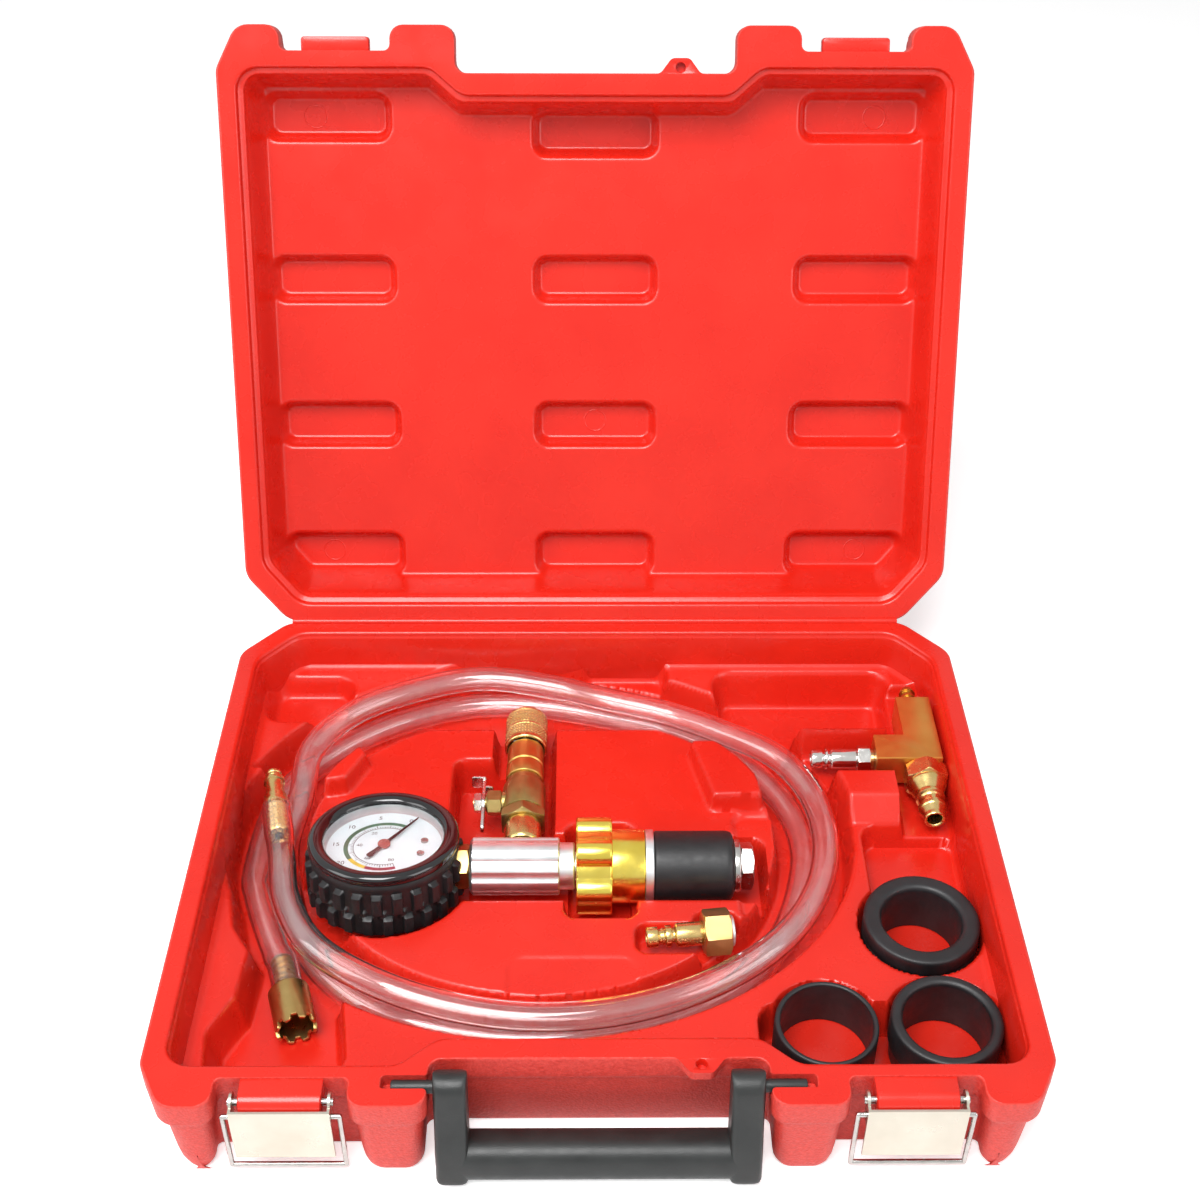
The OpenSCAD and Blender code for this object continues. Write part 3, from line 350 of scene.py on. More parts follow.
def grained(paint, scale, depth, strength, group):
    """Puts a height group under a material's Normal through a Bump node, at the material's own mapping."""
    tree = paint.node_tree
    relief = tree.nodes.new("ShaderNodeGroup")
    relief.node_tree = group
    relief.inputs["Scale"].default_value = scale
    bump = tree.nodes.new("ShaderNodeBump")
    bump.inputs["Strength"].default_value, bump.inputs["Distance"].default_value = strength, depth
    join(tree, tree.nodes["Mapping"].outputs["Vector"], relief.inputs["Vector"])
    join(tree, relief.outputs["Height"], bump.inputs["Height"])
    join(tree, bump.outputs["Normal"], tree.nodes["Principled BSDF"].inputs["Normal"])


def metal(name, dark, light, rough, scale=120, streaks=1400, relief=0.05, uv=False, stretch=(1, 1, 1)):
    """A metal finish: two tones and two roughness levels in clouds, with faint streaks in its relief.
    On a turned part it reads the UV map, so that the streaks run round the part as a tool leaves them."""
    paint = finish(name, dark, light, rough, metal=1.0, tone_scale=scale, uv=uv, stretch=stretch)
    grained(paint, streaks, 0.00005, relief, brushing)
    return paint


def tail(start, count, pitch, low, high):
    """Rows of a hose tail: saw-tooth ribs that rise towards the fitting and then drop."""
    return [row for k in range(count) for row in ((start + pitch * k, low), (start + pitch * (k + 0.72), high),
                                                  (start + pitch * (k + 0.86), low))]


round_part = (0.06, 1, 1)
yellow_brass = metal("yellow_brass", (0.62, 0.43, 0.15), (0.74, 0.55, 0.24), (0.2, 0.32), 90, 5000, 0.06, True,
                     round_part)
plug_rows = [(-17, 2.2), (-17, 4.4), *tail(-16.6, 6, 2.75, 4.8, 5.65), (0.1, 3.6), (0.1, 6), (2, 6), (2.1, 5.2),
             (6, 5.2), (6.3, 4),
             (14.8, 4), (15, 4.7), (17.2, 4.7), (17.4, 3.3), (18.2, 3.3), (18.4, 3.6), (19.2, 3.6), (19.4, 3.3),
             (20, 3.3),
             (20.2, 3.6), (21.4, 3.6), (22, 3.1), (22, 2.2), (-17, 2.2)]
hose_tip = shape("hose_quick_plug", [turned(plug_rows, hose_start[0], hose_start[0] - hose_start[1], 0.25)],
                 yellow_brass, "hose")
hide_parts("hose_plug")

foot_axis = unit(hose_end[-1] - hose_end[-2])
foot_rows = [(-15, 2.4), (-15, 4.4), *tail(-14.6, 5, 2.8, 4.8, 5.65), (0, 3.6), (0.1, 6), (1.6, 6), (1.7, 8.0),
             (2.1, 8.4), (16, 8.4)]
foot_body = turned(foot_rows, hose_end[-1], foot_axis, 0.25, 96)
crown_a = np.linspace(0, 2 * np.pi, 97)
notch = 2.2 * eased((np.cos(8 * crown_a) + 0.25) / 0.8)
foot_side = unit(np.cross((0, 0, 1), foot_axis))
foot_spoke = np.cos(crown_a)[:, None] * foot_side + np.sin(crown_a)[:, None] * np.cross(foot_axis, foot_side)
crown = np.stack([hose_end[-1] + (s - k * notch)[:, None] * foot_axis + r * foot_spoke for s, k, r in
                  ((16.0, 0, 8.4), (21.7, 1, 8.4), (22.0, 1, 8.1), (22.0, 1, 7.2), (21.7, 1, 6.9), (16, 0, 6.9),
                   (6, 0, 6.9),
                   (5.9, 0, 2.4), (-15, 0, 2.4))])
dull_brass = metal("dull_brass", (0.42, 0.28, 0.09), (0.56, 0.39, 0.15), (0.26, 0.40), 80, 5000, 0.06, True,
                   round_part)
hose_foot = shape("hose_suction_foot", [foot_body, crown], dull_brass, "hose")
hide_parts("hose_foot")
# Case base: a red blow-moulded polyethylene shell with a double wall, a flat rim and a deep tray.
# The outside comes from a pebbled mould half, and the tray side from a smooth one.
def rounded(corners, radii, steps=6):
    """Closed outline with rounded corners: each arc starts a tangent length before its corner and
    turns about a centre at one radius to the inner side, by the corner's own angle."""
    u, v = unit(corners - np.roll(corners, 1, 0)), unit(np.roll(corners, -1, 0) - corners)
    bend = np.arctan2(u[:, 0] * v[:, 1] - u[:, 1] * v[:, 0], (u * v).sum(1))
    start = corners - u * (radii * np.abs(np.tan(bend / 2)))[:, None]
    arm = np.stack([u[:, 1], -u[:, 0]], -1) * (np.sign(bend) * radii)[:, None]
    a = bend[:, None] * np.linspace(0, 1, steps + 1)
    spoke = np.stack([arm[:, :1] * np.cos(a) - arm[:, 1:] * np.sin(a),
                      arm[:, :1] * np.sin(a) + arm[:, 1:] * np.cos(a)], -1)
    return ((start - arm)[:, None] + spoke).reshape(-1, 2)


def drawn_in(corners, depths):
    """Moves each edge of a counter-clockwise outline inwards by its own depth: the new corner is where
    the two moved edges meet."""
    along = unit(np.roll(corners, -1, 0) - corners)
    inward = np.stack([-along[:, 1], along[:, 0]], -1)
    before, here = np.roll(inward, 1, 0), inward
    d0, d1 = np.roll(depths, 1), depths
    cross = before[:, 0] * here[:, 1] - before[:, 1] * here[:, 0]
    level = np.abs(cross) < 1e-4
    safe = np.where(level, 1, cross)
    move = np.stack([(d0 * here[:, 1] - d1 * before[:, 1]) / safe,
                     (d1 * before[:, 0] - d0 * here[:, 0]) / safe], -1)
    return corners + np.where(level[:, None], here * d1[:, None], move)


def mirrored(half):
    """The right half of an outline, followed by its mirror image, as one counter-clockwise loop."""
    return np.vstack([half, half[::-1] * (-1, 1)])


def far_from(x, y, corners, r=0.0):
    """Signed distance from points to a convex counter-clockwise outline with corners rounded by r:
    the distance to the outline shrunk by r, less r; it is negative inside."""
    core = drawn_in(corners, np.full(len(corners), r)) if r else corners
    inside, near = np.full(x.shape, -np.inf), np.full(x.shape, np.inf)
    for (ax, ay), (bx, by) in zip(core, np.roll(core, -1, 0)):
        ex, ey = bx - ax, by - ay
        size = math.hypot(ex, ey)
        inside = np.maximum(inside, ((x - ax) * ey - (y - ay) * ex) / size)
        t = np.clip(((x - ax) * ex + (y - ay) * ey) / size**2, 0, 1)
        near = np.minimum(near, np.hypot(x - ax - t * ex, y - ay - t * ey))
    return np.where(inside < 0, inside, near) - r


def box(x0, x1, y0, y1):
    """Corners of an upright rectangle, counter-clockwise."""
    return np.array([(x0, y0), (x1, y0), (x1, y1), (x0, y1)], float)


def stacked(loops):
    """Outlines, each given with its height, as rows of a grid whose first column is repeated at the end."""
    grid = np.stack([np.c_[loop, np.full(len(loop), height)] for loop, height in loops])
    return np.concatenate([grid, grid[:, :1]], 1)


def rings(rows, sides, middle=(0, 0)):
    """Circles about an upright axis, one for each row of radius and height."""
    return np.stack([np.c_[middle + circle(sides) * r, np.full(sides + 1, z)] for r, z in rows])


def cut_field(x, y, z, keep, below=False):
    """Quads of a height field whose corners are all kept, with the points that they use; a field that is
    seen from below has its quads turned over."""
    quads = grid_faces(*x.shape)
    quads = quads[keep.ravel()[quads].all(1)]
    used, new = np.unique(quads, return_inverse=True)
    faces = new.reshape(-1, 4)
    return np.stack([x, y, z], -1).reshape(-1, 3)[used], faces[:, ::-1] if below else faces


rim_z, tray_z, block_z = 44.0, 24.5, 34.0
rim_edge = np.array([(-29, -118), (29, -118), (34, -124.6), (42, -124.6), (47, -118), (63, -118), (63, -125.1),
                     (80, -125.1), (80, -130.9), (63, -130.9), (63, -138.5), (92, -138.5), (92, -126),
                     (141, -126), (141, -138.5), (160, -138.5), (170, -119.5), (170, 115.5), (150, 138.5)],
                     float)
left_half = (rim_edge[5:] * (-1, 1))[::-1]
rim_edge = np.vstack([rim_edge[1:], left_half])
edge_round = np.array([3.5, 3, 3, 3.5, 5, 1.2, 1.5, 1.5, 1.2, 6, 6, 3, 3, 6, 9, 9, 12, 12,
                       12, 12, 9, 9, 6, 3, 3, 6, 6, 1.2, 1.5, 1.5, 1.2, 5.0])
edge_draft = np.array([0, 0, 0, 0.4, 0.4, 0, 0.4, 0, 0.4, 0.3, 0.5, 0.2, 0.5, 0.3, 0.8, 1, 1, 1,
                       1, 1, 0.8, 0.3, 0.5, 0.2, 0.5, 0.3, 0.4, 0, 0.4, 0, 0.4, 0.4])
slot_corner, tab_corner = np.array([6, 7, 28, 29]), np.array([1, 2])


def shell_row(edge, inset, slot, tab):
    """One level of an outer wall: the rim's outline, drawn in by each edge's share of the inset, with
    the rod slots and the padlock tab either full (1) or closed (0)."""
    corners, radii, draft = edge.copy(), edge_round.copy(), edge_draft.copy()
    if not slot:
        corners[slot_corner, 0] = np.sign(corners[slot_corner, 0]) * 63.02
        radii[[5, 6, 7, 8, 27, 28, 29, 30]] = 0.0
    if not tab:
        corners[tab_corner, 1] = -118.02
        radii[[0, 1, 2, 3]] = 0.0
        draft[[0, 1, 2]] = 0.4
    return rounded(drawn_in(corners, draft * inset), radii)


wall_rows = [(1.1, 44.0, 1, 1), (0.5, 43.85, 1, 1), (0.1, 43.4, 1, 1), (0, 42.7, 1, 1), (0, 40, 1, 1),
             (0, 40, 1, 0),
             (0, 38.1, 1, 0), (0, 38.1, 0, 0), (0, 33, 0, 0), (0.4, 32.3, 0, 0), (1.3, 32, 0, 0),
             (3.0, 31.6, 0, 0),
             (3.5, 31.0, 0, 0), (4.0, 29, 0, 0), (5.8, 11, 0, 0), (6.6, 6.5, 0, 0), (8.2, 2.8, 0, 0),
             (10.2, 0.8, 0, 0),
             (12.6, 0, 0, 0)]
outside = stacked((shell_row(rim_edge, e, slot, tab), z) for e, z, slot, tab in wall_rows)
tray_half = np.array([(61, -107), (75, -119), (160, -119), (160, 109.5), (144, 128.5)], float)
tray_edge = mirrored(tray_half)
tray_plan = mirrored(tray_half[1:])
tray_round = np.r_[[9, 9, 9, 12, 12], [12, 12, 9, 9, 9]].astype(float)
lip_rows = [(2.9, 44.0), (2.2, 43.9), (1.6, 43.5), (1.3, 42.8), (1.2, 41.9), (0.7, 41.4), (0.4, 40.8),
            (-1.3, 25.0), (-1.2, 22.0), (0.2, 4.2)]
lip = stacked((rounded(drawn_in(tray_edge, np.full(10, -o)), tray_round + o), z) for o, z in lip_rows)
padlock = np.array([38.0, -120.5])
hole_side = rings([(2.5, 44.0), (2.2, 43.7), (2.2, 40.1), (0, 40.1)], 24, padlock)


def flat_ring(loops, z):
    """Flat face at one height between an outer loop and the loops cut out of it, cut into triangles."""
    points = np.vstack(loops)
    outline = [[Vector((*p, 0)) for p in loop] for loop in loops]
    return np.c_[points, np.full(len(points), z)], tessellate_polygon(outline)


underside = flat_ring([outside[-1, :-1, :2]], 0)
rim_top = flat_ring([outside[0, :-1, :2], lip[0, :-1, :2], hole_side[0, :-1, :2]], rim_z)

# Tray floor: every hollow is a level inside an outline, and rises round it over a short, eased wall.
tx, ty = np.meshgrid(np.linspace(-161.5, 161.5, 348), np.linspace(-120.5, 130, 270))
gx, gy = tx - coil_at[0], ty - coil_at[1]


def oval(a, b):
    """Distance to an ellipse about the coil's middle: its equation divided by the slope of that equation."""
    return ((gx / a)**2 + (gy / b)**2 - 1) / (2 * np.hypot(gx / a**2, gy / b**2) + 1e-9)


island_side = np.maximum(oval(105.5, np.where(gy < 0, 93.0, 79.5)), ty - 85)
bulge = np.maximum.reduce([oval(138.5, 112.5), tx + 20, 60 - ty, ty - 126.5])
hollows = [
    (np.maximum(np.minimum(oval(134.5, 108.5), bulge), -island_side), 5, 0.4, 4),
    (far_from(tx, ty, box(-154, -120, 92, 116), 6), 14, 1, 6),
    (far_from(tx, ty, np.array([(-154, -10), (-148, -36), (-139.5, -49), (-110, -50)], float), 3), 5, 1, 5),
    (far_from(tx, ty, np.array([(-139.5, -44), (-142, -80), (-104, -80), (-110, -44)], float), 3), 5, 1, 5),
    (far_from(tx, ty, np.array([(-142, -74), (-150, -91), (-148, -108), (-100, -107), (-105, -74)], float), 5),
     5, 1, 5),
    (np.hypot(tx + 91, ty + 4.5) - 36.5, 5, 0.3, 3),
    (far_from(tx, ty, box(-91, 72, -21.5, 12.5), 4), 7.5, 0.6, 3),
    (far_from(tx, ty, box(-12, 15, -31.5, 19), 4), 3, 0.6, 3),
    (far_from(tx, ty, box(-45.5, -20.5, -4.5, 99), 4), 12, 0.6, 3),
    (far_from(tx, ty, box(-63.5, -38.5, 14, 60), 4), 5, 0.6, 3),
    (far_from(tx, ty, box(62, 90, -33, 26), 5), 22, 0.6, 4),
    (far_from(tx, ty, box(17, 44, -50.5, -37.5), 4), 15.9, 0.6, 2.5),
    (far_from(tx, ty, box(41, 58, -53, -31.5), 4), 15.9, 0.6, 2.5),
    (far_from(tx, ty, box(136, 159, 47, 112), 4), 17.3, 0.8, 2.2),
    (far_from(tx, ty, box(90, 159, 47, 69), 4), 17.3, 0.8, 3),
    (far_from(tx, ty, box(136, 159, 15, 60), 4), 17.3, 0.8, 2.2),
    (far_from(tx, ty, box(62, 138, 78, 118), 5), 5, 0.8, 7),
    (far_from(tx, ty, box(64, 159, -118, -78.5), 8), 5, 0.8, 2.2),
    (np.hypot(tx - 134.5, ty + 38) - 24.5, 5, 0.2, 2),
    (np.hypot(tx - 136.5, ty + 89) - 22.5, 5, 0.2, 2),
    (np.hypot(tx - 89.5, ty + 89) - 21, 5, 0.2, 2),
    (far_from(tx, ty, box(118, 159, -38, 18), 6), 12, 0.8, 2.6),
    (far_from(tx, ty, box(-6, 33, 108, 127.5), 5), 14, 0.8, 4),
    (far_from(tx, ty, box(-35, 14.5, -79.5, -55.5), 5), 23.6, 0, 3),
]
within = far_from(tx, ty, tray_plan, 9)
middle = far_from(tx, ty, box(-68, 68, -130, -107))
pads = [np.array([(-124.5, 37), (-111.5, 40), (-103.5, 56.5), (-107.5, 63), (-113, 60), (-122, 46.5)]),
        np.array([(51, 28), (75, 29), (73, 43), (65, 56), (55, 66), (42, 66)])]
raised = np.clip((ty - 20) / 10, 0, 1) * eased((77 - ty) / 3) * eased((tx - 85) / 3)
for corners in pads:
    raised = np.maximum(raised, eased(0.3 - far_from(tx, ty, corners, 3) / 2.5))
level = tray_z + (block_z - tray_z) * raised + 1.8 * eased(1 + within / 4)
tray = level
for away, depth, start, run in hollows:
    tray = np.minimum(tray, depth + (level - depth) * eased((away + start) / run))
tray_surface = cut_field(tx, ty, tray, (within < 0.9) & (middle > -0.9))


def barrel(side):
    """Round-nosed bar that carries a latch: a half circle with a straight back, drawn out along X, with
    a flat cap at each end."""
    nose = np.linspace(np.pi / 2, 3 * np.pi / 2, 13)
    yz = np.r_[[(-125.0, 43.1)], np.c_[-132.5 + 4.6 * np.cos(nose), 38.5 + 4.6 * np.sin(nose)],
               [(-125.0, 33.9)]]
    x = side * 116.5 + np.array([-15.2, -14.8, 14.8, 15.2])
    swell = np.array([0.93, 1, 1, 0.93])
    rows = np.stack([np.c_[np.full(len(yz), a), -125.0 + (yz[:, 0] + 125.0) * s, 38.5 + (yz[:, 1] - 38.5) * s]
                     for a, s in zip(x, swell)])
    return rows, (rows[0][::-1], [list(range(len(yz)))]), (rows[-1], [list(range(len(yz)))])


# Moulded grain: small round pebbles, from the spacing of scattered points, for the mould's etched half.
grain, give, take = new_group("moulded_grain", {"Scale": 900, "Softness": 0.6}, ["Height"])
pebble = grain.nodes.new("ShaderNodeTexVoronoi")
pebble.feature = "SMOOTH_F1"
join(grain, give.outputs["Vector"], pebble.inputs["Vector"])
join(grain, give.outputs["Scale"], pebble.inputs["Scale"])
join(grain, give.outputs["Softness"], pebble.inputs["Smoothness"])
join(grain, pebble.outputs["Distance"], take.inputs["Height"])


satin_red = finish("satin_red", (0.61, 0.014, 0.006), (0.67, 0.020, 0.009), (0.22, 0.32), tone_scale=25)
grained(satin_red, 1500, 0.00012, 0.12, grain)
pebbled_red = finish("pebbled_red", (0.58, 0.026, 0.017), (0.72, 0.055, 0.039), (0.40, 0.56), tone_scale=700)
grained(pebbled_red, 1100, 0.0004, 0.5, grain)
base_shell = shape("case_base_shell", [outside, underside], pebbled_red, "base", 40)
base_rim = shape("case_base_rim", [rim_top, lip, hole_side], satin_red, "base", 50, outward=False)
base_tray = shape("case_base_tray", [tray_surface], satin_red, "base", 70, outward=False)
latch_bars = shape("latch_bars", [*barrel(-1), *barrel(1)], satin_red, "base", 40)
for piece in (base_shell, base_rim, base_tray, latch_bars):
    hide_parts("case_base")

# Hinge: the thin bead of red plastic that joins the two halves and bends when the lid is opened.
# It is moulded in one piece with them, so it has their colour and a slight shine from the bending.
node["hinge_strip"].data.materials.clear()
node["hinge_strip"].data.materials.append(satin_red)

# Lid: the other blow-moulded half, with stiffening recesses pressed into its inner panel.
# It is shaped as it lies closed, and then turned open about the hinge line.
lid_low, hinge_y, hinge_z, lid_turn = 44.3, 138.5, 44.15, math.radians(112)


def opened(points):
    """Turns points of the closed lid about the hinge line by the angle at which the lid stands open;
    the third number of a point is its height above the rim."""
    dy, dz = points[..., 1] - hinge_y, points[..., 2] + lid_low - hinge_z
    return np.stack([points[..., 0], hinge_y + dy * math.cos(lid_turn) + dz * math.sin(lid_turn),
                     hinge_z - dy * math.sin(lid_turn) + dz * math.cos(lid_turn)], -1)


lid_edge = rim_edge.copy()
lid_edge[np.abs(lid_edge[:, 1] + 126) < 0.01, 1] = -127.5
lid_rows = [(1.1, 0, 1), (0.5, 0.15, 1), (0.1, 0.6, 1), (0, 1.3, 1), (0, 4, 1), (0, 4, 0), (0, 11, 0),
            (0.4, 11.7, 0),
            (1.3, 12, 0), (3, 12.4, 0), (3.5, 13, 0), (4, 15, 0), (5.2, 27, 0), (6.2, 31, 0), (8.2, 33.6, 0),
            (10.5, 34.7, 0), (12.6, 35, 0)]
lid_outside = stacked((shell_row(lid_edge, e, 0, tab), h) for e, h, tab in lid_rows)
lid_top = flat_ring([lid_outside[-1, :-1, :2]], 35)
lid_lip_rows = [(2.9, 0), (2.2, 0.1), (1.6, 0.5), (1.3, 1.2), (1.2, 2.4), (0.8, 2.9), (-0.9, 3.1), (-1.5, 3.6),
                (-1.7, 5.0)]
lid_lip = stacked((rounded(drawn_in(tray_edge, np.full(10, -o)), tray_round + o), h) for o, h in lid_lip_rows)
lid_hole = (hole_side - (0, 0, rim_z)) * (1, 1, -1)
lid_rim = flat_ring([lid_outside[0, :-1, :2], lid_lip[0, :-1, :2], lid_hole[0, :-1, :2]], 0)

lx, ly = np.meshgrid(np.linspace(-161.5, 161.5, 322), np.linspace(-120.5, 130, 252))
side_wall = far_from(lx, ly, tray_plan, 9)
front_step = far_from(lx, ly, np.array([(-80, -140), (80, -140), (80, -123.3), (61, -107), (-61, -107),
    (-80, -123.3)], float), 0)
from_rim = np.maximum(side_wall, -front_step)
lip_deep, panel_deep, wall_run = 4.2, 25.0, 6.5
pocket_half, pocket_deep, pocket_round = np.array([29.5, 11]), 8.5, 7
panel = lip_deep + (panel_deep - lip_deep) * eased((-from_rim - 0.9) / wall_run)
for column in (-124.5, 0, 124.5):
    for row in (111, 45.5, -24.5, -92 if column == 0 else -99):
        away = far_from(lx, ly, (column, row) + pocket_half * box(-1, 1, -1, 1), pocket_round)
        panel = panel + pocket_deep * (1 - eased((away + 3.6) / 4.4))
panel_points, panel_faces = cut_field(lx, ly, panel, (side_wall < 0.9) & (front_step > -0.9), below=True)
lid_panel = (opened(panel_points), panel_faces)


def blow_pin(x, y):
    """Mark left by a blowing needle on a recess's floor: a thin raised ring, its profile a flat half circle."""
    profile = np.linspace(0, np.pi, 5)
    radius, lift = 5.2 + 0.35 * np.cos(profile), 0.16 * np.sin(profile)
    return opened(rings(zip(radius, panel_deep + pocket_deep - lift), 40, (x, y)))


pins = [blow_pin(*spot) for spot in ((-131, -99), (131, -99), (0, 45), (-131, 111), (131, 111))]


def tongue(side):
    """Catch of a latch: a block with rounded edges, its outline a rounded rectangle that shrinks a little
    at the two faces."""
    outline = box(side * 116.5 - 15.2, side * 116.5 + 15.2, -133.5, -126.5)
    eased_edge = ((0.9, 2.0), (0.3, 2.25), (0, 3), (0, 7), (0.3, 7.75), (0.9, 8.0))
    rows = opened(stacked((rounded(drawn_in(outline, np.full(4, i)), np.full(4, 1.6)), h) for i,
                          h in eased_edge))
    return rows, (rows[0, :-1][::-1], [list(range(28))]), (rows[-1, :-1], [list(range(28))])


lid_shell = shape("lid_shell", [opened(lid_outside), (opened(lid_top[0]), lid_top[1])], pebbled_red, "lid", 40)
lid_frame = shape("lid_rim", [(opened(lid_rim[0]), lid_rim[1]), opened(lid_lip), opened(lid_hole)], satin_red,
                  "lid", 50, outward=False)
lid_inner = shape("lid_panel", [lid_panel], satin_red, "lid", 70, outward=False)
lid_marks = shape("lid_blow_marks", pins, satin_red, "lid", 60, outward=False)
lid_catches = shape("lid_catches", [*tongue(-1), *tongue(1)], satin_red, "lid", 40)
for piece in (lid_shell, lid_frame, lid_inner, lid_marks, lid_catches):
    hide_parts("case_lid")

# Handle: a dark grey moulded bail with a round grip; its two rods lie in slots of the rim.
# The arms are flat bars with rounded edges, and the grip is a round bar between them.
handle_y, handle_z, handle_lean, handle_reach = -128.0, 41.0, math.radians(13), 32.5
arm_x, arm_half, arm_depth, grip_half = 54.75, 6.25, 6.2, 8.6
down = np.array([0, -math.sin(handle_lean), -math.cos(handle_lean)])
handle_top = np.array([0, handle_y, handle_z])
handle_normal = np.cross((1, 0, 0), down)
arm_s = np.r_[-6.0, -5.9, -5.5, -4.6, -3, 0, 8, 14, 20, 26, 32, 38.4, 39.8, 40.7, 41.1]
tip = np.sqrt(np.clip(1 - (np.clip(-arm_s, 0, 6) / 6.05)**2, 0.004, 1))
bevel = 2.2 * (1 - np.sqrt(1 - (np.clip(arm_s - 38.4, 0, 2.7) / 2.7)**2))
wide = arm_half - bevel
deep = (arm_depth + (grip_half - arm_depth) * eased((arm_s - 12) / 16)) * tip - bevel
square = np.abs(circle(40)) ** 0.36 * np.sign(circle(40))
arm_section = square * np.stack([wide, deep], -1)[:, None]
arms = [swept(handle_top + (side * arm_x, 0, 0) + arm_s[:, None] * down, arm_section,
              handle_normal) for side in (-1, 1)]
caps = [(arm[end, :-1][::step], [list(range(40))]) for arm in arms for end, step in ((0, -1), (-1, 1))]
grip_x = np.linspace(-arm_x + 1, arm_x - 1, 9)
grip_round = np.abs(circle(40)) ** 0.8 * np.sign(circle(40)) * grip_half
grip = swept(handle_top + handle_reach * down + grip_x[:, None] * np.array([1, 0, 0]),
             np.repeat(grip_round[None], 9, 0), handle_normal)
rods = [lathe([(0, 0), (0, 2.5), (15.2, 2.5), (15.8, 2.3), (16, 1.9), (16, 0)], (s * 60.5, handle_y, handle_z),
              (s, 0, 0), sides=24)
        for s in (-1, 1)]
dark_moulding = finish("dark_moulding", (0.012, 0.0135, 0.0132), (0.020, 0.022, 0.0215), (0.36, 0.48),
                       tone_scale=90)
grained(dark_moulding, 2200, 0.0002, 0.25, grain)
handle = shape("carry_handle_bail", [*arms, *caps, grip, *rods], dark_moulding, "handle", 40)
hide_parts("carry_handle")

# Latches: nickel-plated sheet plates with folded ears on a pin, each with a bent wire bail.
# The bail hooks over the catch of the closed lid, and the plate snaps down over the bar.
nickel_plate = metal("nickel_plate", (0.60, 0.56, 0.47), (0.70, 0.67, 0.58), (0.26, 0.38), 45)
bright_wire = metal("bright_wire", (0.46, 0.45, 0.43), (0.58, 0.57, 0.55), (0.18, 0.28), 200)


def dress(names, paint):
    """Gives CAD nodes that keep their shape their finish."""
    for name in names:
        node[name].data.materials.clear()
        node[name].data.materials.append(paint)


dress(["latch_plate_left", "latch_plate_right"], nickel_plate)
dress(["latch_bail_left", "latch_bail_right", "latch_pins"], bright_wire)

# Gauge: a pressed-steel vacuum gauge in a black rubber boot with two rows of staggered lugs.
# The boot is stretched over the case, and the bezel is crimped on over the glass.
gauge_at = np.array([-91, -4.5, 24.5])
gauge_y, gauge_up = np.array([0, 0.98163, -0.19081]), np.array([0, 0.19081, 0.98163])


def on_gauge(p):
    """Puts points given in the gauge's own plan and height into the tray."""
    return gauge_at + p[..., :1] * (1, 0, 0) + p[..., 1:2] * gauge_y + p[..., 2:] * gauge_up


def gauge_ring(rows, sides=96):
    """Surface of revolution about the gauge's own axis, from rows of radius and height."""
    return on_gauge(rings(rows, sides))


boot_z = np.r_[-13, -12.9, -12.5, -11.8, np.linspace(-11.2, 8.6, 34), 9.2, 10, 11, 12, 12.7, 13.0, 13.0]
boot_a = np.linspace(0, 2 * np.pi, 24 * 14 + 1)
core = np.interp(boot_z, [-13, -12.9, -12.5, -11.8, 8.6, 10, 11.5, 12.7, 13],
                 [29.4, 30.2, 31, 31.5, 31.6, 31.8, 31.8, 31.3, 30.6])


def lug_row(low, high, turn_by, share):
    """One row of lugs round the boot: a flat-topped wave in the angle times a flat-topped pulse in height."""
    wave = 0.5 + 0.5 * np.cos(24 * (boot_a - turn_by))
    return (eased((wave - 1 + share) / 0.28)[None]
            * (eased((boot_z - low) / 0.9) * eased((high - boot_z) / 0.9))[:, None])


upper_lugs = lug_row(-1.2, 8.4, 0.0, 0.62)
lower_lugs = lug_row(-11.4, -2.2, np.pi / 24, 0.62)
bridge = lug_row(-3.6, 0.6, np.pi / 48, 0.4)
boot_r = core[:, None] + 2.35 * np.maximum(np.maximum(upper_lugs, lower_lugs), 0.5 * bridge)
boot_skin = on_gauge(np.stack([boot_r * np.cos(boot_a), boot_r * np.sin(boot_a),
                               np.repeat(boot_z[:, None], len(boot_a), 1)], -1))
boot_rubber = finish("boot_rubber", (0.004, 0.004, 0.0045), (0.010, 0.010, 0.011), (0.40, 0.56), tone_scale=160)
grained(boot_rubber, 2600, 0.0001, 0.25, grain)
inner_rim = gauge_ring([(30.6, 13.0), (30.1, 12.6)], 72)
boot_foot = gauge_ring([(29.4, -13.0), (0.0, -13.0)], 72)
boot = shape("gauge_boot_lugged", [boot_skin, inner_rim, boot_foot], boot_rubber, "gauge_tool", 38,
             outward=False)
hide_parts("gauge_boot")


gloss_black = finish("gloss_black", (0.003, 0.003, 0.004), (0.006, 0.006, 0.007), (0.08, 0.16), tone_scale=70,
                     Coat_Weight=0.5)
bezel = shape("gauge_bezel_ring", [gauge_ring(
    [(30.2, 13.05), (31.6, 13.05), (32.1, 13.5), (32.2, 14.2), (32.2, 15.6), (31.9, 16.5), (31.2, 17.2),
     (30.2, 17.55),
     (29.0, 17.65), (27.6, 17.4), (26.4, 16.8), (25.7, 16.1), (25.5, 15.4), (25.5, 14.6), (30.2, 14.6),
     (30.2, 13.05)])],
    gloss_black, "gauge_tool", 40)
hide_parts("gauge_bezel")
dress(["gauge_case"], gloss_black)

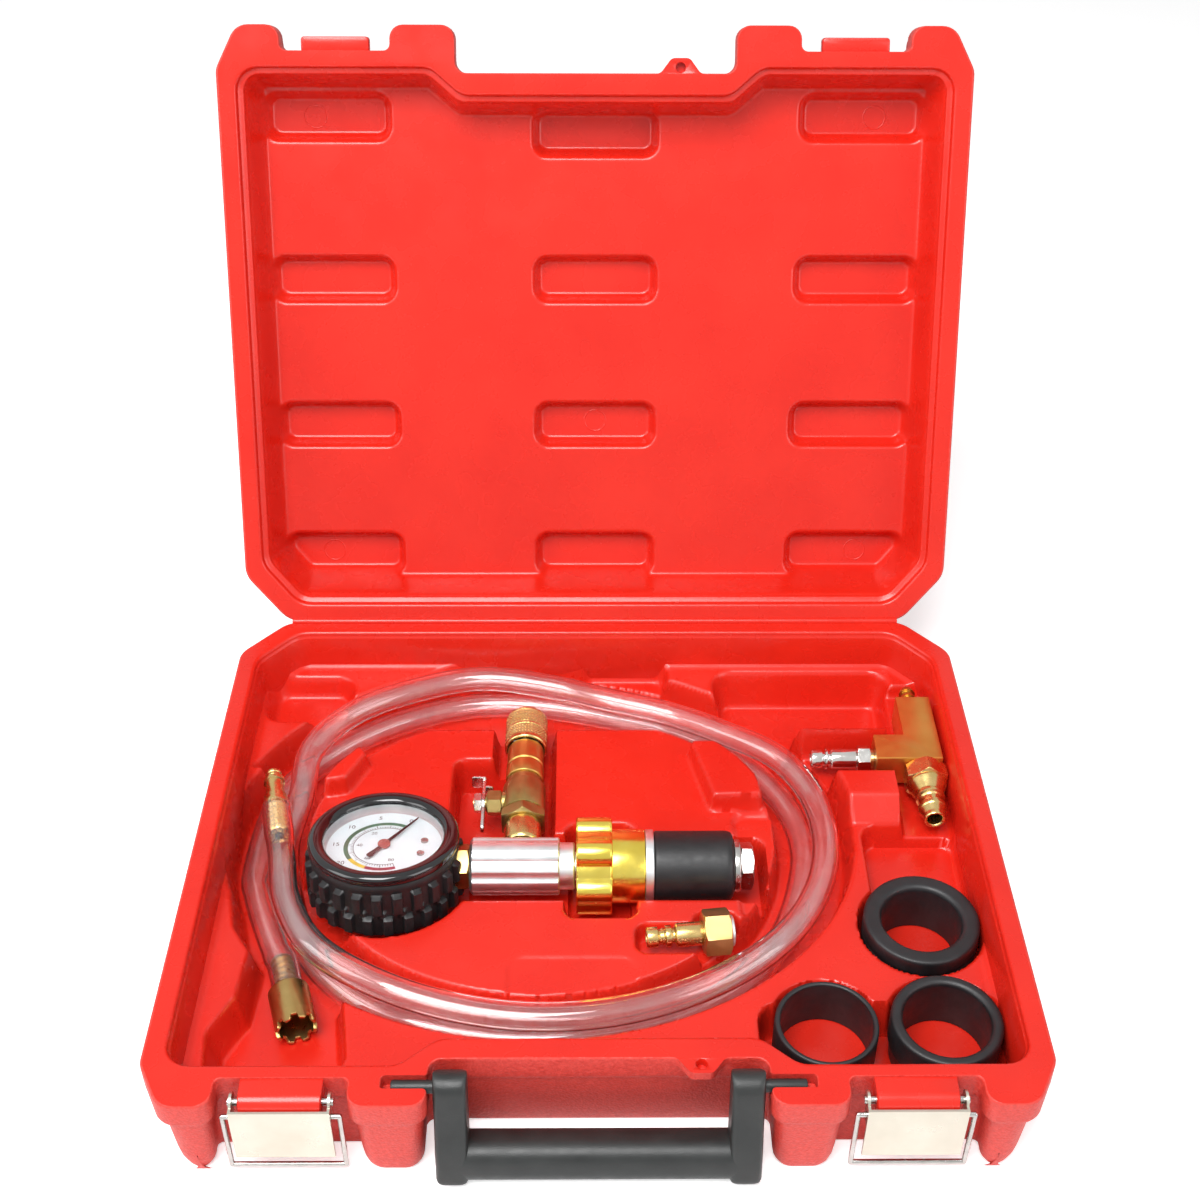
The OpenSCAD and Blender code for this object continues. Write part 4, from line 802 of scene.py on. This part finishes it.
# The dial's inner wall is painted mid grey, darker than the white dial: painted shade standing for the shadow
# that the bezel casts on the wall.
grey_painted_shade = finish("grey_painted_shade", (0.44, 0.44, 0.45), (0.55, 0.55, 0.55), (0.3, 0.45), tone_scale=120)
dial_wall = shape("gauge_dial_wall", [gauge_ring([(25.5, 14.5), (25.4, 13.8), (25.35, 9.9), (24.6, 9.83)])],
                  grey_painted_shade, "gauge_tool", 40, outward=False)
dial_white = finish("dial_white", (0.78, 0.91, 0.95), (0.84, 0.96, 0.99), (0.3, 0.4), tone_scale=90)
dress(["gauge_dial"], dial_white)
gauge_glass = finish("gauge_glass", (0.98, 0.99, 0.99), (1, 1, 1), (0.0, 0.02), tone_scale=30,
                     Transmission_Weight=1.0, IOR=1.45)
dress(["gauge_lens"], gauge_glass)

# Dial print: screen-printed bands, ticks and plain numbers; two slotted screws hold the dial.
print_z = 9.86


def band(r0, r1, start, stop, lift=0.0):
    """Flat printed arc between two radii and two angles in degrees."""
    a = np.radians(np.linspace(start, stop, max(2, int(abs(stop - start) / 3))))
    return on_gauge(np.stack([np.stack([r * np.cos(a), r * np.sin(a), np.full(len(a), print_z + lift)],
        -1) for r in (r1, r0)]))


def ink(name, colour):
    """A printed colour: one hue, a little uneven, with a satin gloss."""
    shade = tuple(0.8 * c for c in colour)
    return finish(name, shade, colour, (0.3, 0.42), tone_scale=300)


def numeral(text, radius, degrees, size):
    """Points and faces of a number on the dial, set upright with its middle at a radius and an angle."""
    curve = bpy.data.curves.new("number", "FONT")
    curve.body, curve.size = text, size
    curve.align_x, curve.align_y = "CENTER", "CENTER"
    letter = bpy.data.objects.new("number", curve)
    flat = letter.to_mesh()
    p = np.empty(len(flat.vertices) * 3)
    flat.vertices.foreach_get("co", p)
    p = p.reshape(-1, 3)
    faces = [list(face.vertices) for face in flat.polygons]
    letter.to_mesh_clear()
    bpy.data.objects.remove(letter)
    bpy.data.curves.remove(curve)
    a = math.radians(degrees)
    return on_gauge(p + (radius * math.cos(a), radius * math.sin(a), print_z)), faces


ticks = [band(13.2, 15.2 if k % 5 == 0 else 14.3, 61.5 + k * 4.6 - 0.55,
              61.5 + k * 4.6 + 0.55) for k in range(51)]
scale_line = band(13.05, 13.3, 61, 292)
outer_numbers = [numeral(str(5 * k), 20.9, 61.5 + 38.3 * k, 3.4) for k in range(7)]
inner_numbers = [numeral(str(20 * k), 10.6, 61.5 + 57.5 * k, 2.6) for k in range(5)]
prints = [
    ("dial_green", [band(15.4, 17.3, 61.5, 214)], ink("print_green", (0.02, 0.20, 0.11))),
    ("dial_yellow", [band(15.4, 17.3, 214, 246)], ink("print_yellow", (0.85, 0.62, 0.03))),
    ("dial_red", [band(15.4, 17.3, 246, 292)], ink("print_red", (0.33, 0.02, 0.05))),
    ("dial_black", [*ticks, scale_line, *outer_numbers, *inner_numbers],
     ink("print_black", (0.012, 0.012, 0.014))),
]
for name, parts, paint in prints:
    mark = shape(name, parts, paint, "gauge_tool", 60, outward=False)

# Needle: a black stamped pointer with a counterweight tail, pressed on a small copper-coloured hub.
needle_turn = math.radians(56)
needle_z = 10.9


def on_needle(p):
    """Turns points drawn along the pointer to its reading and puts them on the gauge."""
    c, s = math.cos(needle_turn), math.sin(needle_turn)
    return on_gauge(np.stack([p[..., 0] * c - p[..., 1] * s, p[..., 0] * s + p[..., 1] * c, p[..., 2]], -1))


along = np.array([-10.5, -10.2, -9.4, -5.5, -3.2, 0, 3.2, 9, 16, 22.5, 23.4])
half_width = np.array([0.9, 1.3, 1.45, 1.0, 0.85, 0.95, 0.8, 0.62, 0.45, 0.24, 0.05])
section = np.array([(-1, 0), (-0.9, 0.35), (0, 0.5), (0.9, 0.35), (1, 0), (0.9, -0.1), (-0.9, -0.1), (-1, 0)])
pointer = np.stack([np.repeat(along[:, None], 8, 1), section[None, :, 0] * half_width[:, None],
                    needle_z + np.repeat(section[None, :, 1], len(along), 0)], -1)
hub = rings([(0, 10.4), (2.5, 10.4), (2.7, 10.7), (2.7, 11.5), (2.4, 11.9), (1.2, 12.0), (1.0, 12.2),
             (0.8, 12.4), (0, 12.4)], 32)
needle_black = ink("needle_black", (0.012, 0.012, 0.013))
hub_copper = finish("hub_copper", (0.32, 0.06, 0.05), (0.42, 0.09, 0.07), (0.3, 0.45), tone_scale=400)
needle = shape("gauge_pointer", [on_needle(pointer), (on_needle(pointer)[0, :7][::-1], [list(range(7))]),
                                 (on_needle(pointer)[-1, :7], [list(range(7))])], needle_black, "needle", 40)
needle_hub = shape("gauge_pointer_hub", [on_needle(hub)], hub_copper, "needle", 40)
for piece in (needle, needle_hub):
    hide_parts("gauge_needle")


# Dial screws: two small cheese-head screws with a slot, turned to their own angles.
# They are nickel-plated and hold the dial to the movement.
def screw_head(x, y, turn_by):
    """Polar grid: a low dome in the radius, lowered by a flat-bottomed groove where the distance from one
    diameter is small."""
    r = np.r_[0, np.linspace(0.08, 1.55, 14), 1.62, 1.62]
    a = np.linspace(0, 2 * np.pi, 65)
    top = 1.0 - 0.22 * (r / 1.62)**2 - np.r_[np.zeros(len(r) - 1), 0.7]
    off = np.abs(r[:, None] * np.sin(a - turn_by))
    height = top[:, None] - 0.42 * (1 - eased((off - 0.2) / 0.12)) * (np.arange(len(r)) < len(r) - 1)[:, None]
    return on_gauge(np.stack([x + r[:, None] * np.cos(a), y + r[:, None] * np.sin(a), 9.8 + height], -1))


nickel_dark = metal("nickel_dark", (0.34, 0.32, 0.31), (0.50, 0.48, 0.46), (0.18, 0.3), 300, 3000)
heads = [screw_head(17, 3.5, 0.5), screw_head(16, -5.5, 1.1)]
screws = shape("dial_screw_heads", heads, nickel_dark, "gauge_tool", 40, outward=False)
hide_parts("dial_screws")

# Gauge works: a bent tube, its lever work and a screwed stem, all in brass behind the dial.
# Only the stem's hexagon shows, between the boot and the manifold.
def hexed(s0, s1, width, phase=0.96):
    """Rows of a hexagonal length: full width across the flats, its corners cut back to a cone at each end."""
    corner, small = width / 2 / math.cos(math.pi / 6), width / 2 * phase
    cone = np.linspace(0, 1, 5)
    reach = 0.5 * (corner - small)
    return [(s, r, width) for s, r in [*zip(s0 + reach * cone, small + (corner - small) * cone),
                                       *zip(s1 - reach * cone[::-1], small + (corner - small) * cone[::-1])]]


tool_at = np.array([0, -4.5, 24.5])
up_corner = math.pi / 6
stem_rows = [(-66, 0), (-66, 5), (-61, 5), *hexed(-60.9, -54.6, 17), (-54.6, 5.5), (-47, 5.5), (-47, 0)]
stem_hex = shape("gauge_stem_hex", [turned(stem_rows, tool_at, (1, 0, 0), 0.1, 96, up_corner)],
                 dull_brass, "gauge_tool", 30)
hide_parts("gauge_stem")
dress(["gauge_movement", "bourdon_tube"], yellow_brass)

# Manifold: an aluminium bar with eight shallow flutes, drilled through, with a port for the valve.
# It is turned and milled from the bar, and the neck at its end is left round.
def along_x(rows, angle):
    """Skin along X: each row is a station and an outline there, given as a radius for each angle."""
    spoke = np.stack([np.cos(angle), np.sin(angle)], -1)
    return np.stack([np.c_[np.full(len(angle), s), r[:, None] * spoke] for s, r in rows])


bar_r, flute_c, flute_r = 12.3, 14.7, 3.4
bar_a = np.linspace(0, 2 * np.pi, 8 * 28 + 1)
off = np.mod(bar_a - math.radians(22.5) + math.pi / 8, math.pi / 4) - math.pi / 8
hit = flute_r**2 - (flute_c * np.sin(off))**2
flute = np.where(hit > 0, flute_c * np.cos(off) - np.sqrt(np.maximum(hit, 0)), 2 * bar_r)
fluted = -np.log(np.exp(-6 * (bar_r - 11)) + np.exp(-6 * (flute - 11))) / 6 + 11
bar_rows = [(-54.5, 6, 0), (-54.5, 10.4, 0), (-54.3, 11.0, 0.35), (-53.7, 11.8, 0.8), (-53.2, 12.3, 1),
            (-16.6, 12.3, 1), (-16.2, 11.9, 0.8), (-16, 11.3, 0.3), (-16, 10.1, 0), (-10.2, 10.1, 0),
            (-9.7, 9.8, 0), (-9.5, 9.2, 0), (-9.5, 6.1, 0)]
bar_skin = along_x([(s, r - share * (bar_r - fluted)) for s, r, share in bar_rows], bar_a) + tool_at
milled_aluminium = metal("milled_aluminium", (0.74, 0.78, 0.79), (0.84, 0.88, 0.89), (0.32, 0.44), 60, 1600,
                         0.06)
manifold = shape("manifold_bar", [bar_skin], milled_aluminium, "gauge_tool", 30, outward=False)
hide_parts("manifold_body")

# Valve: a small brass ball valve on a nipple, with a side boss for its stem and a stamped steel lever.
# A nut holds the lever on the stem's square end, and a bent tab stops it at a quarter turn.
valve_at = np.array([-32.5, -4.5, 24.5])
ball_at = valve_at + (0, 38, 0)
brown_brass = metal("brown_brass", (0.34, 0.25, 0.085), (0.48, 0.36, 0.14), (0.30, 0.42), 90, 5000, 0.06, True,
                    round_part)
nipple_rows = [(11, 4), (11, 7.6), (12.4, 8.2), (23.6, 8.2), (24, 7.8), (24, 4)]
nipple = shape("valve_nipple_turned", [turned(nipple_rows, valve_at, (0, 1, 0))], yellow_brass, "gauge_tool")
valve_rows = [(24, 4.2), *hexed(24, 30, 19, 0.93), (30.3, 8.9), (30.6, 9.6), (46.2, 9.6), (47.5, 8.4),
              (47.6, 8), (50.6, 8), (51, 7.6), (51, 4.2)]
boss_rows = [(4, 5.2), (9.8, 5.2), *hexed(10, 16.4, 10, 0.95), (16.4, 4.2), (17, 4), (17, 3.05)]
barrel_skin = turned(valve_rows, valve_at, (0, 1, 0), 0.2, 96, up_corner)
boss_skin = turned(boss_rows, ball_at, (-1, 0, 0), 0.15, 96, 0.0)
valve = shape("valve_body_turned", [barrel_skin, boss_skin], brown_brass, "gauge_tool", 30, outward=False)
for piece, name in ((nipple, "valve_nipple"), (valve, "valve_body")):
    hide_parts(name)


def plate(corners, radii, low, high, ease, place):
    """A plate with eased edges: a rounded outline at four levels, drawn in by the ease at the two faces,
    with flat faces; place turns (u, v, height) into the tray's X, Y and Z."""
    corners = np.array(corners, float)
    inset = np.full(len(corners), ease)
    levels = ((1, low), (0.3, low + 0.3 * ease), (0, low + ease),
              (0, high - ease), (0.3, high - 0.3 * ease), (1, high))
    loops = [(rounded(drawn_in(corners, inset * i), np.maximum(np.array(radii, float) - ease * i, 0.05), 5), h)
             for i, h in levels]
    side = stacked(loops)
    caps = [flat_ring([side[k, :-1, :2]], h) for k, h in ((0, low), (-1, high))]
    return [place(side), *((place(p), f) for p, f in caps)]


def lever_side(p):
    """Plate drawn in Y and Z, its thickness along X, on the valve's stem."""
    return ball_at + p[..., [2, 0, 1]]


def lever_front(p):
    """Plate drawn in X and Z, its thickness along Y, on the valve's stem."""
    return ball_at + np.stack([p[..., 0], p[..., 2], p[..., 1]], -1)


strip_half = np.array([(-17, -2.2), (-4.4, -2.4), (-2.4, -4), (2.4, -4), (4.4, -2.4), (14, -2.4)])
strip_round = [1.8, 1.5, 2, 2, 1.5, 0.5]
lever_strip = plate(np.vstack([strip_half, strip_half[::-1] * (1, -1)]), strip_round + strip_round[::-1],
                    -18.7, -17.3, 0.3, lever_side)
paddle_corners = [(-24, -3.4), (-17.4, -3.0), (-17.4, 3.0), (-24, 3.4)]
lever_paddle = plate(paddle_corners, [1.4, 0.5, 0.5, 1.4], 12.8, 14, 0.3, lever_front)
stop_corners = [(-17.9, -2), (-14, -1.8), (-14, 1.8), (-17.9, 2)]
lever_stop = plate(stop_corners, [0.4, 1.2, 1.2, 0.4], 8, 9.2, 0.3, lever_front)
pressed_steel = metal("pressed_steel", (0.66, 0.65, 0.62), (0.80, 0.79, 0.77), (0.18, 0.3), 250, 2200, 0.06)
lever = shape("valve_lever_bent", [*lever_strip, *lever_paddle, *lever_stop], pressed_steel, "valve_handle", 35)
nut_rows = [(-22.2, 2.45), *hexed(-22.2, -18.8, 8), (-18.8, 2.45), (-22.2, 2.45)]
lever_nut = shape("lever_hex_nut", [turned(nut_rows, ball_at, (1, 0, 0), 0.08, 96, 0.0)],
                  pressed_steel, "valve_handle", 30)
for piece, name in ((lever, "valve_lever"), (lever_nut, "lever_nut")):
    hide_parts(name)
dress(["valve_stem"], yellow_brass)
dress(["valve_ball"], milled_aluminium)
dress(["valve_seats"], dial_white)

# Coupler: a brass quick coupler screwed on the valve, with a knurled sleeve that is drawn back.
# Its sleeve runs over a spring, and four steel balls lock the plug that is pushed in.
orange_brass = metal("orange_brass", (0.56, 0.33, 0.085), (0.68, 0.44, 0.13), (0.28, 0.38), 90, 5000, 0.06,
                     True, round_part)
coupler_rows = [(51, 4), (51, 8.0), (51.4, 8.6), (58.6, 8.6), (58.9, 8.0), (59.8, 8.0), (60.2, 8.5), (61, 8.5),
                (61.3, 8.3), (71.2, 8.3), (71.5, 8), (71.6, 6.2), (92, 6.2), (92.5, 5.7), (92.5, 3.6),
                (51, 3.6)]
coupler = shape("coupler_body_turned", [turned(coupler_rows, valve_at, (0, 1, 0), 0.15)],
                orange_brass, "gauge_tool", 30)
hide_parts("coupler_body")
knurl_s = np.linspace(72, 93, 106)
knurl_a = np.linspace(0, 2 * np.pi, 42 * 7 + 1)
sleeve_r = np.interp(knurl_s, [72, 72.5, 74.2, 74.5, 81.2, 81.5, 82.6, 82.9, 90.6, 90.9, 92, 93],
                     [9.2, 9.75, 9.75, 9.85, 9.85, 9.6, 9.6, 9.85, 9.85, 9.7, 9.5, 8.7])
banded = np.interp(knurl_s, [74.3, 74.7, 81.1, 81.3, 82.8, 83.1, 90.4, 90.8], [0, 1, 1, 0, 0, 1, 1, 0])


def saw(t):
    """Triangle wave between 0 and 1 with period 1."""
    return np.abs(2 * np.mod(t, 1) - 1)


round_share, run_share = 42 * knurl_a / (2 * np.pi), knurl_s[:, None] / 1.75
cut = np.minimum(saw(round_share + run_share), saw(round_share - run_share))
knurled = sleeve_r[:, None] - 0.42 * banded[:, None] * (1 - eased(cut / 0.85))
sleeve_skin = np.stack([-knurled * np.cos(knurl_a), np.repeat(knurl_s[:, None], len(knurl_a), 1),
                        knurled * np.sin(knurl_a)], -1)
sleeve_bore = np.stack([np.c_[-r * np.cos(knurl_a), np.full(len(knurl_a), s), r * np.sin(knurl_a)] for s, r in
                        ((93, 8.7), (93, 6.9), (92.6, 6.4), (86, 6.4), (86, 8.75), (72, 8.75), (72, 9.2))])
sleeve = shape("coupler_sleeve_knurled", [np.concatenate([sleeve_skin, sleeve_bore]) + valve_at], yellow_brass,
               "sleeve", 50)
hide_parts("coupler_sleeve")
dress(["coupler_spring", "coupler_balls"], bright_wire)
dress(["coupler_seal"], boot_rubber)

# Expander: a gold anodised knob on a tube presses a washer on a thick rubber sleeve, which swells in the
# filler neck; a hexagon nut with a flange holds it at the tube's end.
lobe_a = np.linspace(0, 2 * np.pi, 6 * 40 + 1)
off = np.mod(lobe_a - math.radians(52.2) + math.pi / 6, math.pi / 3) - math.pi / 6
hit = 36 - (15 * np.sin(off))**2
lobe = np.where(hit > 0, 15 * np.cos(off) + np.sqrt(np.maximum(hit, 0)), 0)
lobed = np.log(np.exp(4 * (lobe - 17)) + 1) / 4 + 17
knob_rows = [(-8.9, 6.3, 0), (-8.9, 14.5, 0), (-8.9, 17, 1.0), (-8.75, 17, 0.55), (-8.3, 17, 0.12),
             (-7.9, 17, 0),
             (5.5, 17, 0), (5.9, 17, 0.12), (6.35, 17, 0.55), (6.5, 17, 1.0), (6.5, 15.8, 0), (6.6, 15.8, 0),
             (20, 15.8, 0), (20.35, 15.6, 0), (20.5, 15.2, 0), (20.5, 6.3, 0), (-8.9, 6.3, 0)]
knob_skin = along_x([(s, lobed - less if r == 17 else np.full(len(lobe_a), r)) for s, r, less in knob_rows],
                    lobe_a) + tool_at
gold_anodised = metal("gold_anodised", (0.82, 0.62, 0.085), (0.92, 0.76, 0.16), (0.18, 0.28), 70, 4000, 0.06,
                      True, (0.12, 1, 1))
knob = shape("expander_knob_lobed", [knob_skin], gold_anodised, "knob", 30)
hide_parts("expander_knob")
washer_rows = [(20.6, 6.3), (20.6, 15.4), (21, 15.6), (23.8, 15.6), (24.2, 15.4), (24.2, 6.3), (20.6, 6.3)]
washer = shape("press_washer_turned", [turned(washer_rows, tool_at, (1, 0, 0), 0.3, 72)],
               milled_aluminium, "washer", 30)
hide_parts("press_washer")
rubber_s = np.r_[24.4, 24.4, 24.5, 24.9, 25.5, np.linspace(26.4, 55, 24), 56.2, 57.3, 58.0, 58.35, 58.4, 58.4]
rubber_r = np.r_[6.4, 14.0, 14.5, 14.85, 15, np.full(24, 15.0), 14.9, 14.5, 13.8, 12.9, 12.2, 6.4]
black_rubber = finish("black_rubber", (0.005, 0.005, 0.006), (0.011, 0.011, 0.012), (0.40, 0.55),
                      tone_scale=110)
grained(black_rubber, 2400, 0.0001, 0.22, grain)
rubber_skin = lathe([*zip(rubber_s, rubber_r), (24.4, 6.4)], tool_at, (1, 0, 0), sides=72)
rubber = shape("expander_rubber_sleeve", [rubber_skin], black_rubber, "gauge_tool", 40)
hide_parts("expander_rubber")
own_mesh(rubber)
end_rows = [(58.6, 6.1), (58.6, 11.2), (58.9, 11.5), (60.9, 11.5), (61.4, 11.1), *hexed(61.4, 67.2, 18),
            (67.2, 6.05), (58.6, 6.1)]
end_nut = shape("expander_end_nut", [turned(end_rows, tool_at, (1, 0, 0), 0.12, 96, up_corner)],
                bright_wire, "gauge_tool", 30)
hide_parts("expander_nut")
dress(["expander_tube"], milled_aluminium)

# Venturi: a milled brass block in the shape of an L, through which compressed air draws the vacuum.
# A hose barb, a nickel-plated air plug and a hexagon coupling are screwed into its three ports.
venturi_at = np.array([149.5, 58, 28])
satin_brass = metal("satin_brass", (0.62, 0.26, 0.055), (0.72, 0.34, 0.085), (0.32, 0.44), 50, 1500, 0.06)
block_corners = [(-22, -8), (8, -8), (8, 34), (-8, 34), (-8, 8), (-22, 8)]
block_faces = plate(block_corners, [0.7] * 6, -8, 8, 0.55, lambda p: venturi_at + p)
block = shape("venturi_block_milled", block_faces, satin_brass, "venturi", 30)
barb_rows = [(33, 1.6), (33, 2.6), (36, 2.6), (36, 3.9), (39.4, 2.8), (40, 2.8), (40, 3.9), (43.4, 2.8),
             (44, 2.8), (44, 3.9),
             (46.8, 2.9), (47, 2.5), (47, 1.6), (33, 1.6)]
barb = shape("venturi_hose_barb", [turned(barb_rows, venturi_at, (0, 1, 0), 0.12)], orange_brass, "venturi")
bright_nickel = metal("bright_nickel", (0.66, 0.64, 0.61), (0.78, 0.76, 0.73), (0.10, 0.18), 200, 5000, 0.05,
                      True, round_part)
air_rows = [(20, 2), (20, 3.5), (22.2, 3.5), (22.3, 4.4), (23.8, 4.4), *hexed(23.9, 30, 11), (30.1, 4.0),
            (30.6, 4.6), (41.4, 4.6), (42, 4.2), (42.2, 3.2),
            (43.3, 3.2), (43.5, 4.8), (44.5, 4.8), (44.7, 3.2), (45.8, 3.2), (46, 4.2), (50.4, 4.2), (51, 3.6),
            (51, 2.4), (50.4, 2), (20, 2)]
air_plug = shape("venturi_air_plug", [turned(air_rows, venturi_at, (-1, 0, 0), 0.12, 96, up_corner)],
                 bright_nickel, "venturi", 30)
coupling_rows = [(7, 3.3), (7, 5), (8, 5), *hexed(8.05, 17, 18, 0.95), (17.2, 8.7), (18.2, 8.7), (23.6, 6.3),
                 (24.2, 6.3), (24.6, 6.6), (26, 6.6), (26.4, 5.6), (27.2, 4.9),
                 (29.6, 4.9), (30.6, 6.1), (32.8, 6.1), (33.4, 5.7), (36.6, 4.8), (38.4, 4.8), (39, 4.5),
                 (39, 3.9), (38.4, 3.3), (7, 3.3)]
coupling = shape("venturi_hex_coupling", [turned(coupling_rows, venturi_at, (0, -1, 0), 0.18, 96, up_corner)],
                 yellow_brass, "venturi", 30)
for piece, name, slot in ((block, "venturi_block", "brass"), (barb, "venturi_barb", "brass"),
                          (air_plug, "venturi_plug", "steel"),
                          (coupling, "venturi_coupling", "brass")):
    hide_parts(name)
dress(["venturi_jet"], yellow_brass)

# Adapter: a turned brass quick plug with a loose hexagon nut, for the workshop's air line.
# An aluminium seal ring sits in the nut's mouth.
adapter_at = np.array([20, -45.5, 26])
adapter_axis = (math.cos(math.radians(6)), math.sin(math.radians(6)), 0)
air_tip_rows = [(0, 2.6), (0, 3.7), (0.5, 4.2), (4.6, 4.2), (5, 3.4), (5.2, 3.1), (6.4, 3.1), (6.6, 3.5),
                (7.4, 3.5), (7.6, 3.1), (7.8, 3.1), (8, 4.4), (10.2, 4.4),
                (10.6, 3.2), (11.6, 3.2), (12.2, 4.6), (12.8, 5), (24, 5), (24, 2.2), (0.4, 2.2), (0, 2.6)]
air_tip = shape("adapter_air_tip", [turned(air_tip_rows, adapter_at, adapter_axis, 0.12)], yellow_brass,
                "adapter", 30)
nut_brass = metal("nut_brass", (0.50, 0.31, 0.11), (0.62, 0.41, 0.17), (0.3, 0.42), 70, 1800, 0.06)
nut_rows = [(23.5, 5.2), *hexed(23.5, 35, 17, 0.95), (35, 7.2), (34.4, 6.7), (26, 6.7), (26, 5.2), (23.5, 5.2)]
adapter_nut = shape("adapter_hex_nut", [turned(nut_rows, adapter_at, adapter_axis, 0.1, 96, up_corner)],
                    nut_brass, "adapter", 30)
seal_rows = [(30, 4), (30, 6.4), (36, 6.4), (36.4, 6), (36.4, 4.4), (36, 4), (30, 4)]
seal = shape("adapter_seal_ring", [turned(seal_rows, adapter_at, adapter_axis, 0.2)],
             milled_aluminium, "adapter", 30)
for piece, name, slot in ((air_tip, "adapter_nipple", "brass"), (adapter_nut, "adapter_nut", "brass"),
                          (seal, "adapter_seal", "aluminium")):
    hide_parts(name)

# Cone rings: three moulded rubber collars that fit the expander to wider filler necks.
# They stand loose in the tray, and their rims are worn a little smooth.
ring_rubber = finish("ring_rubber", (0.007, 0.007, 0.008), (0.014, 0.014, 0.016), (0.38, 0.54), tone_scale=90)
grained(ring_rubber, 2200, 0.0001, 0.22, grain)
ring_foot = 5.1
collars = [
    ("large_ring", "ring_large", (134.5, -38), [(0.4, 16.4), (0, 16.9), (0, 22.2), (0.6, 22.8), (5, 22.8),
        (5.6, 21.5), (8.6, 21.4), (9.3, 23.5), (10, 23.9),
     (15.2, 24), (15.7, 23.6), (16.3, 23.6), (16.8, 24), (22.6, 24), (23.7, 23.5), (24, 22.4), (24, 18.4),
     (23.4, 17.2), (22, 16.5), (0.4, 16.4)]),
    ("thin_ring", "ring_thin", (89.5, -89), [(0.3, 18.1), (0, 18.5), (0, 20.0), (0.5, 20.4), (19, 20.5),
        (21.2, 20.4), (22, 19.8), (22, 18.8), (21.4, 18.2), (0.3, 18.1)]),
    ("medium_ring", "ring_medium", (136.5, -89), [(0.4, 17.2), (0, 17.6), (0, 20.0), (0.6, 20.6), (9, 20.6),
        (10, 21.9), (11, 22), (22.4, 22), (23.6, 21.5), (24, 20.6),
     (24, 18.8), (23.2, 17.6), (22, 17.2), (0.4, 17.2)]),
]
for body, name, (x, y), rows in collars:
    collar = shape(f"cone_{name}", [turned(rows, (x, y, ring_foot), (0, 0, 1), 0.5, 96, up=(1, 0, 0))],
                   ring_rubber, body, 40)
    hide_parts(name)
